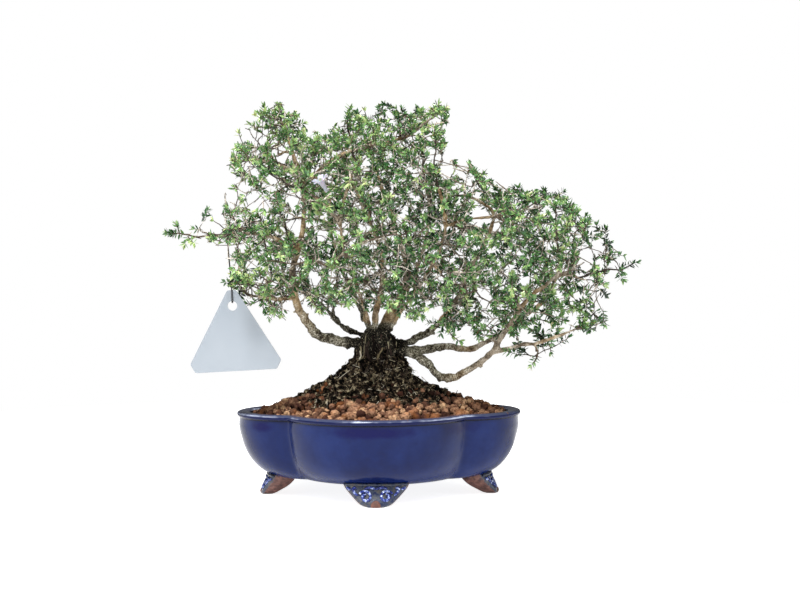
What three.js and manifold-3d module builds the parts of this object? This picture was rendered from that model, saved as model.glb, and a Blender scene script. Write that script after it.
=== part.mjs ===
// A serissa bonsai in a glazed mokko pot: millimetres, +Z up, feet on Z = 0, front towards -Y.
import * as THREE from "three";
import { mergeVertices } from "three/addons/utils/BufferGeometryUtils.js";
import Module from "manifold-3d";

const wasm = await Module();
wasm.setup();
const { Manifold } = wasm;

// ---------------------------------------------------------------- driving dimensions
const GAP = 0.3; // air between two pieces that touch

// Pot: a four-lobed bowl. Each half size is given at the rim and at the foot of the wall.
const RIM = { length: 105, depth: 83, creaseX: 64, creaseY: 45 };
const BASE = { length: 74, depth: 58, creaseX: 50, creaseY: 31 };
const POT_HEIGHT = 62;
const BELLY_BOTTOM = 14;
const BELLY_TOP = 52;
const WALL_INSET = 2; // the wall stands back from the lip
const INNER_INSET = 8; // inner face of the wall, from the lip's edge
const LIP_WIDTH = 9;
const FLOOR_TOP = 17.5;
const DRAIN_RADIUS = 7;
const DRAIN_X = 32;
const MESH_SIDE = 22;
const MESH_THICKNESS = 1;

// Soil and mound
const SEAT_Z = 68; // flat seat on the soil that the mound lies on
const MOUND_RADIUS = 60;
const MOUND_FLATTENING = 0.75; // depth over length
const HOLLOW_FLANK = 0.3; // how much the right flank is drawn in at its middle
const HOLLOW_FLANK_Z = 86;
const HOLLOW_FLANK_REACH = 12;
const SOIL_AIR = 0.8; // from the wall: the gap, and what the wall's flat facets take from it
const GRAINS = 26;

// Tree
const SPRAYS = 38; // leafy sprays placed by rule, besides those placed by hand
const CROWN_POINTS = 3200; // shoot ends that the whole crown would have
const SETTLING_ROUNDS = 8;
const CROWN_HALF_DEPTH = 92;
const CROWN_EDGE_DEPTH = 26;
const TWIGS_PER_SPRAY = 5;
const LEAF_LENGTH = 8;
const LEAF_WIDTH = 3.8;
const LEAF_THICKNESS = 0.8;
const CELL_MARGIN = 0.5; // how far a spray stays inside its own share of the crown
const WOOD_CLEARANCE = 0.6;

// Flower, label and wire
const BLOOM = { x: -37, y: -64, z: 228 };
const BLOOM_AXIS = new THREE.Vector3(-0.42, -0.42, 0.8).normalize();
const FUNNEL_LENGTH = 10;
const PETALS = 5;
const CALYX_LENGTH = 3;
const LABEL_HOLE = { x: -102, y: -44, z: 140.5, radius: 3.4 };
const LABEL_TILT = THREE.MathUtils.degToRad(2.8);
const LABEL_THICKNESS = 0.8;
const WIRE_RADIUS = 0.5;

// ---------------------------------------------------------------- small helpers
const point = (x, y, z) => new THREE.Vector3(x, y, z);
const mix = THREE.MathUtils.lerp;
const UP = point(0, 0, 1);

// A seeded draw between 0 and 1 (Park and Miller's rule).
function seeded(seed) {
  let state = seed;
  return () => {
    state = (state * 16807) % 2147483647;
    return state / 2147483647;
  };
}

// A three.js geometry as a solid that can be joined and cut.
function solid(geometry) {
  const bare = geometry.clone();
  bare.deleteAttribute("normal");
  bare.deleteAttribute("uv");
  const merged = mergeVertices(bare, 1e-4);
  return new Manifold(
    new wasm.Mesh({
      numProp: 3,
      vertProperties: merged.getAttribute("position").array,
      triVerts: new Uint32Array(merged.index.array),
    }),
  );
}

// The faces between two rings of as many points, and those from a ring to a tip.
function bandFaces(low, high) {
  return low.flatMap((p, i) => {
    const j = (i + 1) % low.length;
    return [p, low[j], high[j], p, high[j], high[i]];
  });
}

function tipFaces(ring, tip) {
  return ring.flatMap((p, i) => [p, ring[(i + 1) % ring.length], tip]);
}

// The faces of a closed surface through rings of points, anticlockwise seen from the far end.
// isOpen(k, i) leaves out side i of the band that starts at ring k.
function loftFaces(rings, isOpen = () => false) {
  const faces = [];
  for (let k = 0; k + 1 < rings.length; k++) {
    const band = bandFaces(rings[k], rings[k + 1]);
    faces.push(...band.filter((_, corner) => !isOpen(k, Math.floor(corner / 6))));
  }
  // A ring of few points is closed from its first point, a wide or lobed one from its middle.
  const closeEnd = (ring) => {
    if (ring.length < 12) {
      for (let i = 1; i + 1 < ring.length; i++) faces.push(ring[0], ring[i], ring[i + 1]);
    } else {
      const middle = ring.reduce((sum, p) => sum.add(p), point(0, 0, 0));
      faces.push(...tipFaces(ring, middle.divideScalar(ring.length)));
    }
  };
  closeEnd([...rings[0]].reverse());
  closeEnd(rings[rings.length - 1]);
  return faces;
}

function loft(rings) {
  return new THREE.BufferGeometry().setFromPoints(loftFaces(rings));
}

// Two directions square to a heading, carried on from an earlier side direction.
function sideways(heading, earlier) {
  const side = earlier.clone().addScaledVector(heading, -earlier.dot(heading));
  if (side.lengthSq() < 1e-6) side.set(heading.y, heading.z, heading.x).cross(heading);
  side.normalize();
  return [side, heading.clone().cross(side)];
}

// A round limb through points with a radius at each.
function limb(points, radii, sides) {
  let side = point(0.3, 0.9, 0.1);
  const rings = points.map((p, k) => {
    const heading = points[Math.min(k + 1, points.length - 1)]
      .clone()
      .sub(points[Math.max(k - 1, 0)])
      .normalize();
    const [u, v] = sideways(heading, side);
    side = u;
    return Array.from({ length: sides }, (_, i) => {
      const angle = (2 * Math.PI * i) / sides;
      return p
        .clone()
        .addScaledVector(u, radii[k] * Math.cos(angle))
        .addScaledVector(v, radii[k] * Math.sin(angle));
    });
  });
  return loft(rings);
}

// ---------------------------------------------------------------- pot
// Half of a lobed outline's quarter is an arc of the front lobe, the rest one of the end lobe.
// fall runs from 0 at the rim to 1 at the foot of the wall; steps are counted for each half lobe.
function lobedOutline(fall, inset, z, steps) {
  const length = mix(RIM.length, BASE.length, fall);
  const depth = mix(RIM.depth, BASE.depth, fall);
  const creaseX = mix(RIM.creaseX, BASE.creaseX, fall);
  const creaseY = mix(RIM.creaseY, BASE.creaseY, fall);
  const squares = creaseX ** 2 + creaseY ** 2;
  const frontCentre = (depth ** 2 - squares) / (2 * (depth - creaseY));
  const endCentre = (length ** 2 - squares) / (2 * (length - creaseX));
  const frontRadius = depth - frontCentre - inset;
  const endRadius = length - endCentre - inset;
  const apart = Math.hypot(endCentre, frontCentre);
  const along = (frontRadius ** 2 - endRadius ** 2 + apart ** 2) / (2 * apart);
  const across = Math.sqrt(frontRadius ** 2 - along ** 2);
  const meetX = (along * endCentre + across * frontCentre) / apart;
  const meetY = -frontCentre + (along * frontCentre - across * endCentre) / apart;
  const frontSweep = Math.atan2(meetX, -meetY - frontCentre);
  const endSweep = Math.atan2(-meetY, meetX - endCentre);
  const quarter = [];
  for (let i = 0; i <= steps; i++) {
    const angle = (frontSweep * i) / steps;
    const x = frontRadius * Math.sin(angle);
    quarter.push([x, -frontCentre - frontRadius * Math.cos(angle)]);
  }
  for (let i = 1; i <= steps; i++) {
    const angle = endSweep * (1 - i / steps);
    quarter.push([endCentre + endRadius * Math.cos(angle), -endRadius * Math.sin(angle)]);
  }
  const half = quarter.concat(
    quarter
      .slice(0, -1)
      .reverse()
      .map(([x, y]) => [x, -y]),
  );
  const around = half.concat(
    half
      .slice(1, -1)
      .reverse()
      .map(([x, y]) => [-x, y]),
  );
  return around.map(([x, y]) => point(x, y, z));
}

const POT_STEPS = 5;
const SOIL_STEPS = 3;
const LIP_BAND = [
  // [inset, z]
  [0.4, 57.4],
  [0, 60.6],
  [1.2, POT_HEIGHT],
  [LIP_WIDTH, POT_HEIGHT],
  [LIP_WIDTH, 60.6],
];
const INNER_WALL = [
  // [z, fall], from the rim down to the floor
  [59, 0],
  [50, 0],
  [35, 0.09],
  [24, 0.31],
  [FLOOR_TOP, 0.62],
];

function bellyOutlines() {
  const outlines = [];
  const levels = 4;
  for (let i = 0; i <= levels; i++) {
    const angle = (Math.PI / 2) * (i / levels);
    const z = BELLY_TOP - (BELLY_TOP - BELLY_BOTTOM) * Math.cos(angle);
    outlines.push(lobedOutline(1 - Math.sin(angle), WALL_INSET, z, POT_STEPS));
  }
  return outlines;
}

// A bracket foot under one lobe: a rounded shield in front view, its toe flaring outwards.
const FOOT_LEVELS = [
  // [z, half width, outer face, inner face], the faces measured from the reach
  [0, 6, 4, -3.5],
  [1.4, 10, 4.8, -6],
  [3.4, 12.8, 4.4, -8.8],
  [8, 17.6, 2.2, -14.5],
  [13, 22, 0.6, -17.5],
  [16.5, 23.6, -0.6, -17.5],
];
const FOOT_STATIONS = [-1, -0.5, 0, 0.5, 1];
const FEET = [
  { reach: 65, lobeRadius: 66, turns: [0, Math.PI] }, // front and back
  { reach: 83, lobeRadius: 40, turns: [Math.PI / 2, -Math.PI / 2] }, // the two ends
];

function foot(reach, lobeRadius, turn) {
  const rings = FOOT_LEVELS.map(([z, halfWidth, outer, inner]) => {
    const across = (share, face) => {
      const u = share * halfWidth;
      return point(u, -(reach + face - (u * u) / (2 * lobeRadius)), z);
    };
    const front = FOOT_STATIONS.map((share) => across(share, outer));
    const back = FOOT_STATIONS.map((share) => across(-share, inner));
    return front.concat(back);
  });
  return solid(loft(rings).rotateZ(turn));
}

function cylinder(x, radius, z0, z1) {
  const geometry = new THREE.CylinderGeometry(radius, radius, z1 - z0, 12).rotateX(Math.PI / 2);
  return solid(geometry.translate(x, 0, (z0 + z1) / 2));
}

function block(x, width, depth, z0, z1) {
  return solid(new THREE.BoxGeometry(width, depth, z1 - z0).translate(x, 0, (z0 + z1) / 2));
}

function makePot() {
  const rings = bellyOutlines();
  LIP_BAND.forEach(([inset, z]) => rings.push(lobedOutline(0, inset, z, POT_STEPS)));
  INNER_WALL.forEach(([z, fall]) => rings.push(lobedOutline(fall, INNER_INSET, z, POT_STEPS)));
  let pot = solid(loft(rings));
  for (const { reach, lobeRadius, turns } of FEET) {
    for (const turn of turns) pot = pot.add(foot(reach, lobeRadius, turn));
  }
  for (const x of [-DRAIN_X, DRAIN_X]) {
    pot = pot.subtract(cylinder(x, DRAIN_RADIUS, BELLY_BOTTOM - 1, FLOOR_TOP + 1));
  }
  return pot;
}

// A square of plastic mesh over a drain hole, with a grid of square openings.
function makeDrainMesh(x) {
  const openings = 2;
  const pitch = MESH_SIDE / (openings + 0.4);
  const z0 = FLOOR_TOP + GAP;
  let mesh = block(x, MESH_SIDE, MESH_SIDE, z0, z0 + MESH_THICKNESS);
  for (let i = 0; i < openings; i++) {
    for (let j = 0; j < openings; j++) {
      const hole = new THREE.BoxGeometry(pitch * 0.7, pitch * 0.7, 3 * MESH_THICKNESS);
      hole.translate(x + (i - 0.5) * pitch, (j - 0.5) * pitch, z0 + MESH_THICKNESS / 2);
      mesh = mesh.subtract(solid(hole));
    }
  }
  return mesh;
}

// ---------------------------------------------------------------- trunk base and soil
const TRUNK_BASE = [
  // [z, radius]
  [44, 8],
  [60, 12],
  [80, 14.5],
  [98, 15.5],
  [107, 14.5],
  [115, 12],
  [123, 8],
];
const TRUNK_SIDES = 10;
const TRUNK_AIR = 0.6; // between the trunk and the hole it stands in

// The fluted foot of the trunk, where several stems have grown together.
function trunkBase(extra) {
  const rings = TRUNK_BASE.map(([z, radius]) =>
    Array.from({ length: TRUNK_SIDES }, (_, i) => {
      const angle = (2 * Math.PI * i) / TRUNK_SIDES;
      const fluted = (radius + extra) * (1 + 0.1 * Math.cos(3 * angle + 0.6));
      return point(fluted * Math.cos(angle) - 1, 0.9 * fluted * Math.sin(angle), z);
    }),
  );
  return solid(loft(rings));
}

function ellipseRing(radius, z, count) {
  return Array.from({ length: count }, (_, i) => {
    const angle = (2 * Math.PI * i) / count - Math.PI / 2;
    return point(radius * Math.cos(angle), MOUND_FLATTENING * radius * Math.sin(angle), z);
  });
}

const SOIL_TOP = [
  // [share of the way out to the wall, z], from the wall towards the mound
  [1, 56.4],
  [0.965, 57.8],
  [0.9, 60.4],
  [0.8, 63.8],
  [0.72, 66.8],
];

function soilRing(share, z, steps) {
  const ring = lobedOutline(0, INNER_INSET + SOIL_AIR, z, steps);
  return ring.map((p) => point(share * p.x, share * p.y, z));
}

function soilHeight(share) {
  const next = SOIL_TOP.findIndex(([edge]) => edge <= share);
  const [edge1, z1] = SOIL_TOP[next];
  const [edge0, z0] = SOIL_TOP[next - 1];
  return mix(z0, z1, (share - edge0) / (edge1 - edge0));
}

function makeSoil() {
  const draw = seeded(4127);
  const levels = INNER_WALL.slice(2).reverse();
  const rings = levels.map(([z, fall], i) =>
    lobedOutline(fall, INNER_INSET + SOIL_AIR, i ? z : z + GAP, SOIL_STEPS),
  );
  SOIL_TOP.forEach(([share, z], i) => {
    const ring = soilRing(share, z, SOIL_STEPS);
    if (i > 0) ring.forEach((p) => (p.z += 1.6 * (draw() - 0.5)));
    rings.push(ring);
  });
  rings.push(ellipseRing(MOUND_RADIUS + 3, SEAT_Z, 8 * SOIL_STEPS));
  const grains = [];
  const places = [];
  while (places.length < GRAINS) {
    const share = mix(0.73, 0.93, draw());
    const ring = soilRing(share, soilHeight(share), 8);
    const place = ring[Math.floor(draw() * ring.length)];
    const size = mix(3, 4.8, draw());
    const onMound = Math.hypot(place.x, place.y / MOUND_FLATTENING) < MOUND_RADIUS + 7;
    if (onMound || places.some((p) => p.distanceTo(place) < 2.1 * size)) continue;
    places.push(place);
    const grain = new THREE.OctahedronGeometry(size)
      .scale(1, mix(0.7, 1, draw()), mix(0.6, 0.85, draw()))
      .rotateZ(Math.PI * draw())
      .rotateX(0.8 * draw())
      .translate(place.x, place.y, place.z - 0.4);
    grains.push(solid(grain));
  }
  let soil = Manifold.union([solid(loft(rings)), ...grains]);
  const moundSeat = loft([
    ellipseRing(MOUND_RADIUS + 1.5, SEAT_Z, 24),
    ellipseRing(MOUND_RADIUS + 1.5, SEAT_Z + 12, 24),
  ]);
  soil = soil.subtract(solid(moundSeat)).subtract(trunkBase(TRUNK_AIR));
  for (const x of [-DRAIN_X, DRAIN_X]) {
    const side = MESH_SIDE + 2 * GAP;
    soil = soil.subtract(block(x, side, side, FLOOR_TOP, FLOOR_TOP + MESH_THICKNESS + 2 * GAP));
  }
  return soil;
}

const MOUND_PROFILE = [
  // [radius, z]
  [MOUND_RADIUS - 1, SEAT_Z + GAP],
  [MOUND_RADIUS, SEAT_Z + 2],
  [52, 75.5],
  [40, 82.5],
  [30, 89],
  [23.5, 95],
  [19, 98],
];

// The dark upper root mass that the trunk stands in, steeper on its right.
function makeMound() {
  const draw = seeded(811);
  const rings = MOUND_PROFILE.map(([radius, z], k) => {
    const rough = k > 1 ? 1 : 0;
    const hollow = HOLLOW_FLANK * Math.max(0, 1 - Math.abs(z - HOLLOW_FLANK_Z) / HOLLOW_FLANK_REACH);
    return ellipseRing(radius, z, 16).map((p) => {
      const drawnIn = 1 - hollow * Math.max(0, p.x / radius);
      const swell = drawnIn * (1 + rough * 0.24 * (draw() - 0.5));
      return point(p.x * swell, p.y * swell, p.z + rough * 3.4 * (draw() - 0.5));
    });
  });
  return solid(loft(rings)).subtract(trunkBase(TRUNK_AIR));
}

// ---------------------------------------------------------------- limbs of the tree
// [name, radius at the start, radius at the end, points]
const LIMBS = [
  ["left_limb", 5.4, 2.4, [
    [-8, -3, 108], [-16, -6, 112], [-40, -16, 116], [-50, -20, 126], [-58, -24, 141],
    [-61, -24, 165], [-55, -18, 188], [-53, -12, 212], [-55, -8, 230],
  ]],
  ["left_rear", 2.8, 1.8, [
    [-8, 6, 115], [-21, 14, 120], [-32, 19, 127], [-40, 24, 136], [-54, 32, 146], [-69, 40, 155],
  ]],
  ["leader", 5, 2, [
    [1, 4, 115], [8, 7, 131], [17, 10, 145], [21, 12, 160], [19, 10, 180], [8, 5, 214],
    [-3, 2, 246],
  ]],
  ["left_leader", 4, 1.8, [
    [-3, -4, 116], [-1, -7, 134], [4, -8, 162], [1, -8, 187], [-9, -5, 209], [-23, -2, 242],
  ]],
  ["right_limb", 4.8, 2, [
    [8, -2, 104], [25, -8, 104], [36, -13, 96], [47, -19, 87], [57, -24, 88], [76, -30, 100],
    [85, -32, 108], [92, -33, 120], [108, -30, 142], [125, -25, 156], [143, -20, 165],
  ]],
  ["right_low", 2, 1.3, [
    [82, -31, 105], [101, -34, 110], [118, -34, 113], [144, -29, 122],
  ]],
  ["right_rear", 3.6, 1.8, [
    [6, 2, 107], [24, 3, 105], [49, 8, 108], [64, 14, 105], [78, 20, 108], [111, 36, 129],
    [129, 42, 142],
  ]],
  ["right_leader", 3.8, 1.8, [
    [6, 3, 110], [22, 9, 111], [41, 20, 121], [54, 25, 134], [64, 27, 152], [84, 22, 194],
    [90, 18, 212],
  ]],
  ["back_left", 3.4, 1.8, [
    [-4, 5, 114], [-15, 28, 139], [-26, 45, 158], [-35, 56, 182], [-40, 60, 210],
  ]],
  ["back_right", 3.4, 1.8, [
    [4, 6, 116], [17, 30, 143], [28, 46, 164], [36, 56, 189], [40, 58, 217],
  ]],
  ["front_left", 2.8, 1.6, [
    [-3, -4, 117], [-11, -24, 144], [-17, -42, 164], [-22, -52, 183], [-25, -56, 204],
  ]],
  ["front_right", 2.8, 1.6, [
    [5, -1, 116], [25, -18, 145], [38, -38, 164], [47, -50, 183], [51, -54, 204],
  ]],
  ["top_left", 2, 1.3, [[-55, -8, 230], [-60, -8, 247], [-65, -6, 264], [-70, -5, 276]]],
  ["top_mid", 2.3, 1.4, [
    [-55, -8, 230], [-44, -6, 236], [-36, -4, 245], [-16, 0, 254], [7, 0, 260], [21, 0, 264],
    [44, -4, 279],
  ]],
  ["upper_left", 2, 1.3, [
    [-55, -8, 230], [-66, -11, 240], [-76, -13, 245], [-87, -15, 246], [-99, -16, 246],
  ]],
  ["long_left", 2.2, 1.2, [
    [-58, -21, 180], [-68, -28, 186], [-82, -35, 192], [-113, -41, 191],
  ]],
  ["low_left", 1.8, 1.3, [
    [-60, -25, 147], [-69, -26, 144], [-90, -25, 147], [-100, -22, 155],
  ]],
];

// ---------------------------------------------------------------- the crown's shape
// Front outline of the leafy crown, [x, z], clockwise from the left.
const CROWN_OUTLINE = [
  [-123, 214], [-112, 229], [-109, 254], [-101, 271], [-92, 284], [-80, 291], [-63, 289],
  [-50, 275], [-40, 267], [-28, 276], [-19, 288], [4, 289], [30, 286], [47, 289], [55, 283],
  [53, 263], [55, 248], [72, 245], [87, 231], [106, 227], [126, 224], [141, 222], [150, 212],
  [169, 198], [174, 184], [194, 170], [181, 154], [171, 143], [168, 121], [150, 114],
  [129, 105], [107, 101], [86, 107], [68, 114], [47, 119], [26, 127], [6, 134], [-20, 134],
  [-41, 130], [-60, 138], [-69, 127], [-86, 130], [-102, 142], [-116, 157], [-115, 178],
  [-129, 189],
];
// Gaps that one sees through, [x, z, radius], running from front to back.
const CROWN_GAPS = [
  [-59, 203, 10], [-68, 250, 7], [-31, 196, 7], [77, 206, 10], [156, 176, 9], [40, 129, 10],
  [-24, 130, 10], [95, 114, 7],
];
// Shoots that end at a known place: the tips that the outline runs through.
const SHOOT_TIPS = [
  [-152, -38, 193], [-142, -44, 199], [-137, -42, 182], [-131, -30, 196], [-127, -49, 184],
  [-123, -14, 212],
  [-104, -14, 255], [-101, -10, 267], [-91, -6, 281], [-83, -4, 289], [-71, -2, 290],
  [-52, 2, 276], [-19, 0, 288], [4, 2, 289], [19, -6, 284], [30, 4, 286], [47, -4, 289],
  [54, -2, 285], [69, 0, 246], [81, 4, 238], [86, -6, 230], [104, 0, 227], [122, -6, 224],
  [140, 0, 223], [148, -10, 210], [168, -8, 197], [172, 4, 184], [192, -14, 170],
  [181, -12, 155], [169, -6, 144], [165, -26, 122], [141, -30, 117], [125, -32, 105],
  [110, -34, 93], [90, -36, 107], [-77, -30, 129], [-100, -20, 144], [-113, -20, 158],
];
// Middles of the sprays that stand apart from the rest of the crown.
const LONE_SPRAYS = [[-134, -40, 191], [118, -33, 101]];
const CROWN_MIDDLE = { x: 12, y: -4, z: 200, halfLength: 190, halfHeight: 105 };

function insideOutline(x, z) {
  let inside = false;
  CROWN_OUTLINE.forEach(([x1, z1], i) => {
    const [x2, z2] = CROWN_OUTLINE[(i + 1) % CROWN_OUTLINE.length];
    if (z1 > z !== z2 > z && x < ((x2 - x1) * (z - z1)) / (z2 - z1) + x1) inside = !inside;
  });
  return inside;
}

function crownHalfDepth(x, z) {
  const across = (x - CROWN_MIDDLE.x) / CROWN_MIDDLE.halfLength;
  const up = (z - CROWN_MIDDLE.z) / CROWN_MIDDLE.halfHeight;
  const round = Math.sqrt(Math.max(0, 1 - across * across - up * up));
  return Math.max(CROWN_EDGE_DEPTH, CROWN_HALF_DEPTH * round);
}

function insideCrown(p) {
  if (!insideOutline(p.x, p.z)) return false;
  if (Math.abs(p.y - CROWN_MIDDLE.y) > crownHalfDepth(p.x, p.z)) return false;
  return CROWN_GAPS.every(([x, z, radius]) => Math.hypot(p.x - x, p.z - z) > radius);
}

function nearest(places, p) {
  let best = 0;
  places.forEach((q, i) => {
    if (q.distanceToSquared(p) < places[best].distanceToSquared(p)) best = i;
  });
  return best;
}

// Points spread evenly through the crown, and the sprays' middles, moved until each has
// about the same share of the points.
function shareCrown() {
  const draw = seeded(20261);
  const points = [];
  while (points.length < CROWN_POINTS) {
    const p = point(mix(-130, 195, draw()), mix(-97, 89, draw()), mix(92, 292, draw()));
    if (insideCrown(p)) points.push(p);
  }
  const lone = LONE_SPRAYS.map((p) => point(...p));
  const middles = points.slice(0, SPRAYS).map((p) => p.clone());
  for (let round = 0; round < SETTLING_ROUNDS; round++) {
    const sums = middles.map(() => ({ total: point(0, 0, 0), count: 0 }));
    for (const p of points) {
      const i = nearest(middles, p);
      sums[i].total.add(p);
      sums[i].count += 1;
    }
    sums.forEach(({ total, count }, i) => middles[i].copy(total).divideScalar(Math.max(1, count)));
  }
  const all = lone.concat(middles);
  const shares = all.map(() => []);
  for (const p of SHOOT_TIPS.map((tip) => point(...tip))) shares[nearest(all, p)].push(p);
  const tips = shares.map((share) => share.length);
  for (const p of points) shares[nearest(all, p)].push(p);
  return { middles: all, shares, tips };
}

// How far a point lies inside spray i's own share, less than 0 outside it.
function roomInShare(middles, i, p) {
  let room = Infinity;
  middles.forEach((other, j) => {
    if (j === i) return;
    const between = other.clone().sub(middles[i]);
    const apart = between.length();
    const along = p.clone().sub(middles[i]).dot(between) / apart;
    room = Math.min(room, apart / 2 - along);
  });
  return room;
}

// ---------------------------------------------------------------- branches
const BRANCH_ROOT_RADIUS = 1.9;
const BRANCH_TIP_RADIUS = 1.15;
const BRANCH_STEPS = 2;
const SPRAY_ENTRY = 14; // how far from its middle a spray takes over from the branch
const SHORTEST_BRANCH = 6;
const STALK_RADII = [1, 0.8, 0.7, 0.6];

// Every stretch of wood: two ends with their radii and the direction it grows in.
function stretchesOf(points, radii) {
  return points.slice(1).map((end, k) => ({
    start: points[k],
    end,
    startRadius: radii[k],
    endRadius: radii[k + 1],
    heading: end.clone().sub(points[k]).normalize(),
    bearing: [0.2, 0.6], // shares of its length where a side shoot may leave it
  }));
}

function limbPath([, startRadius, endRadius, places]) {
  const points = places.map((p) => point(...p));
  const radii = points.map((_, k) => mix(startRadius, endRadius, k / (points.length - 1)));
  return { points, radii };
}

// The easiest place to branch off towards a goal: near, and not turning back. A branch's last
// stretch is left free near its tip, where its spray grows on.
function branchPlace(wood, goal) {
  let best = { cost: Infinity };
  for (const stretch of wood) {
    for (const share of stretch.bearing) {
      const place = stretch.start.clone().lerp(stretch.end, share);
      const way = goal.clone().sub(place);
      const length = way.length();
      const turn = 1 - way.dot(stretch.heading) / length;
      const cost = length * (1 + 0.45 * turn);
      const radius = mix(stretch.startRadius, stretch.endRadius, share);
      if (cost < best.cost) best = { cost, place, stretch, share, radius };
    }
  }
  return best;
}

// A branch leaves along its parent's heading and bends over to its goal.
function branchPath(from, goal) {
  const length = from.place.distanceTo(goal);
  const bend = from.place.clone().addScaledVector(from.stretch.heading, 0.4 * length);
  bend.lerp(from.place.clone().lerp(goal, 0.5), 0.35);
  const curve = new THREE.QuadraticBezierCurve3(from.place, bend, goal);
  const points = curve.getPoints(BRANCH_STEPS);
  const rootRadius = Math.min(BRANCH_ROOT_RADIUS, 0.8 * from.radius);
  const radii = points.map((_, k) => mix(rootRadius, BRANCH_TIP_RADIUS, k / BRANCH_STEPS));
  return { points, radii };
}

// The limbs, then a branch to each spray, those nearest to the wood first, and the bloom's stalk.
function growWood(middles) {
  const limbs = LIMBS.map(limbPath);
  const wood = limbs.flatMap(({ points, radii }) => stretchesOf(points, radii));
  const reach = middles.map((middle) => branchPlace(wood, middle).cost);
  const order = middles.map((_, i) => i).sort((a, b) => reach[a] - reach[b]);
  const branches = [];
  for (const i of order) {
    const from = branchPlace(wood, middles[i]);
    const way = middles[i].clone().sub(from.place);
    const length = Math.max(SHORTEST_BRANCH + from.radius, way.length() - SPRAY_ENTRY);
    const goal = from.place.clone().addScaledVector(way.normalize(), length);
    const branch = branchPath(from, goal);
    branches[i] = branch;
    branch.stretches = stretchesOf(branch.points, branch.radii);
    branch.stretches[BRANCH_STEPS - 1].bearing = length > 16 ? [0.1] : [];
    wood.push(...branch.stretches);
  }
  const foot = point(BLOOM.x, BLOOM.y, BLOOM.z);
  foot.addScaledVector(BLOOM_AXIS, -(FUNNEL_LENGTH + CALYX_LENGTH + 2 * GAP));
  const root = branchPlace(wood, foot);
  const bend = foot.clone().addScaledVector(BLOOM_AXIS, -0.4 * root.place.distanceTo(foot));
  const curve = new THREE.QuadraticBezierCurve3(root.place, bend, foot);
  const stalk = { points: curve.getPoints(3), radii: STALK_RADII };
  wood.push(...stretchesOf(stalk.points, stalk.radii));
  return { limbs, branches, stalk, wood };
}

function makeTree({ limbs, branches, stalk }) {
  const pieces = [trunkBase(0)];
  for (const { points, radii } of limbs) {
    const sides = 4 + (radii[0] > 2.3) + (radii[0] > 3.5);
    pieces.push(solid(limb(points, radii, sides)));
  }
  for (const { points, radii } of [...branches, stalk]) {
    pieces.push(solid(limb(points, radii, 4)));
  }
  return Manifold.union(pieces);
}

// ---------------------------------------------------------------- leafy sprays
const STEM_RADIUS = 1.05;
const TWIG_RADIUS = 0.5;
const NODE_RADIUS = 0.45; // of a twig where a pair of leaves grows
const NODE_LENGTH = 1.1;
const NODE_BEFORE_LEAF = 1.6;
const SHORTEST_TWIG = 1.4 * LEAF_LENGTH;
const WIDEST = 0.42; // share of a blade's length

// A blade is flat above with a keel below: its edges and keel at the widest place, and its tip.
function bladeCorners(root, heading, edgeWay, normal) {
  const middle = root.clone().addScaledVector(heading, WIDEST * LEAF_LENGTH);
  return {
    back: middle.clone().addScaledVector(edgeWay, -LEAF_WIDTH / 2),
    front: middle.clone().addScaledVector(edgeWay, LEAF_WIDTH / 2),
    keel: middle.clone().addScaledVector(normal, -LEAF_THICKNESS),
    tip: root.clone().addScaledVector(heading, LEAF_LENGTH),
  };
}

// The side of a twig and the way its upper face looks.
function twigFrame(way) {
  const [side] = sideways(way, UP.clone().cross(way));
  return { side, normal: way.clone().cross(side) };
}

// The two opposite leaves at a twig's node, each left out where it has no room.
function leafPair(from, way, distance, fits) {
  const { side, normal } = twigFrame(way);
  const root = from.clone().addScaledVector(way, distance);
  return [1, -1].map((turn) => {
    const heading = way.clone().multiplyScalar(0.45);
    heading.addScaledVector(side, 0.9 * turn).addScaledVector(normal, 0.2).normalize();
    const [edgeWay] = sideways(heading, way);
    const face = edgeWay.clone().cross(heading).multiplyScalar(turn);
    const leaf = bladeCorners(root, heading, edgeWay, face);
    const onEdge = (p) => [root.clone().lerp(p, 0.6), leaf.tip.clone().lerp(p, 0.5)];
    const tried = [...Object.values(leaf), ...onEdge(leaf.back), ...onEdge(leaf.front)];
    return tried.every((p) => fits(p, 0)) ? leaf : null;
  });
}

// A three-sided twig that ends in a leaf, with a pair of side leaves drawn out of its faces.
function leafyTwig({ from, goal, radius, rootWay }, fits) {
  const way = goal.clone().sub(from);
  const length = way.length();
  way.normalize();
  const { side, normal } = twigFrame(way);
  const ring = (distance, size, across = side, up = normal) => {
    const centre = from.clone().addScaledVector(way, distance);
    const edge = (u, v) =>
      centre.clone().addScaledVector(across, u * size).addScaledVector(up, v * size);
    return [edge(0.87, 0.5), edge(-0.87, 0.5), edge(0, -1)];
  };
  const node = length - LEAF_LENGTH - NODE_BEFORE_LEAF;
  const low = ring(node, NODE_RADIUS);
  const high = ring(node + NODE_LENGTH, NODE_RADIUS);
  const end = bladeCorners(goal.clone().addScaledVector(way, -LEAF_LENGTH), way, side, normal);
  const [right, left] = leafPair(from, way, node + NODE_LENGTH / 2, fits);

  const faces = [];
  const drawOut = (base, wide, tip) => faces.push(...bandFaces(base, wide), ...tipFaces(wide, tip));
  const root = ring(0, radius, ...sideways(rootWay, side));
  faces.push(root[0], root[2], root[1]);
  faces.push(...bandFaces(root, low));
  faces.push(low[0], low[1], high[1], low[0], high[1], high[0]);
  faces.push(low[2], high[0], high[2], low[1], low[2], high[2]);
  const rightBase = [low[2], low[0], high[0]];
  const leftBase = [low[1], high[2], high[1]];
  if (right) drawOut(rightBase, [right.keel, right.back, right.front], right.tip);
  else faces.push(...rightBase);
  if (left) drawOut(leftBase, [left.back, left.keel, left.front], left.tip);
  else faces.push(...leftBase);
  drawOut(high, [end.front, end.back, end.keel], end.tip);
  return solid(new THREE.BufferGeometry().setFromPoints(faces));
}

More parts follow.
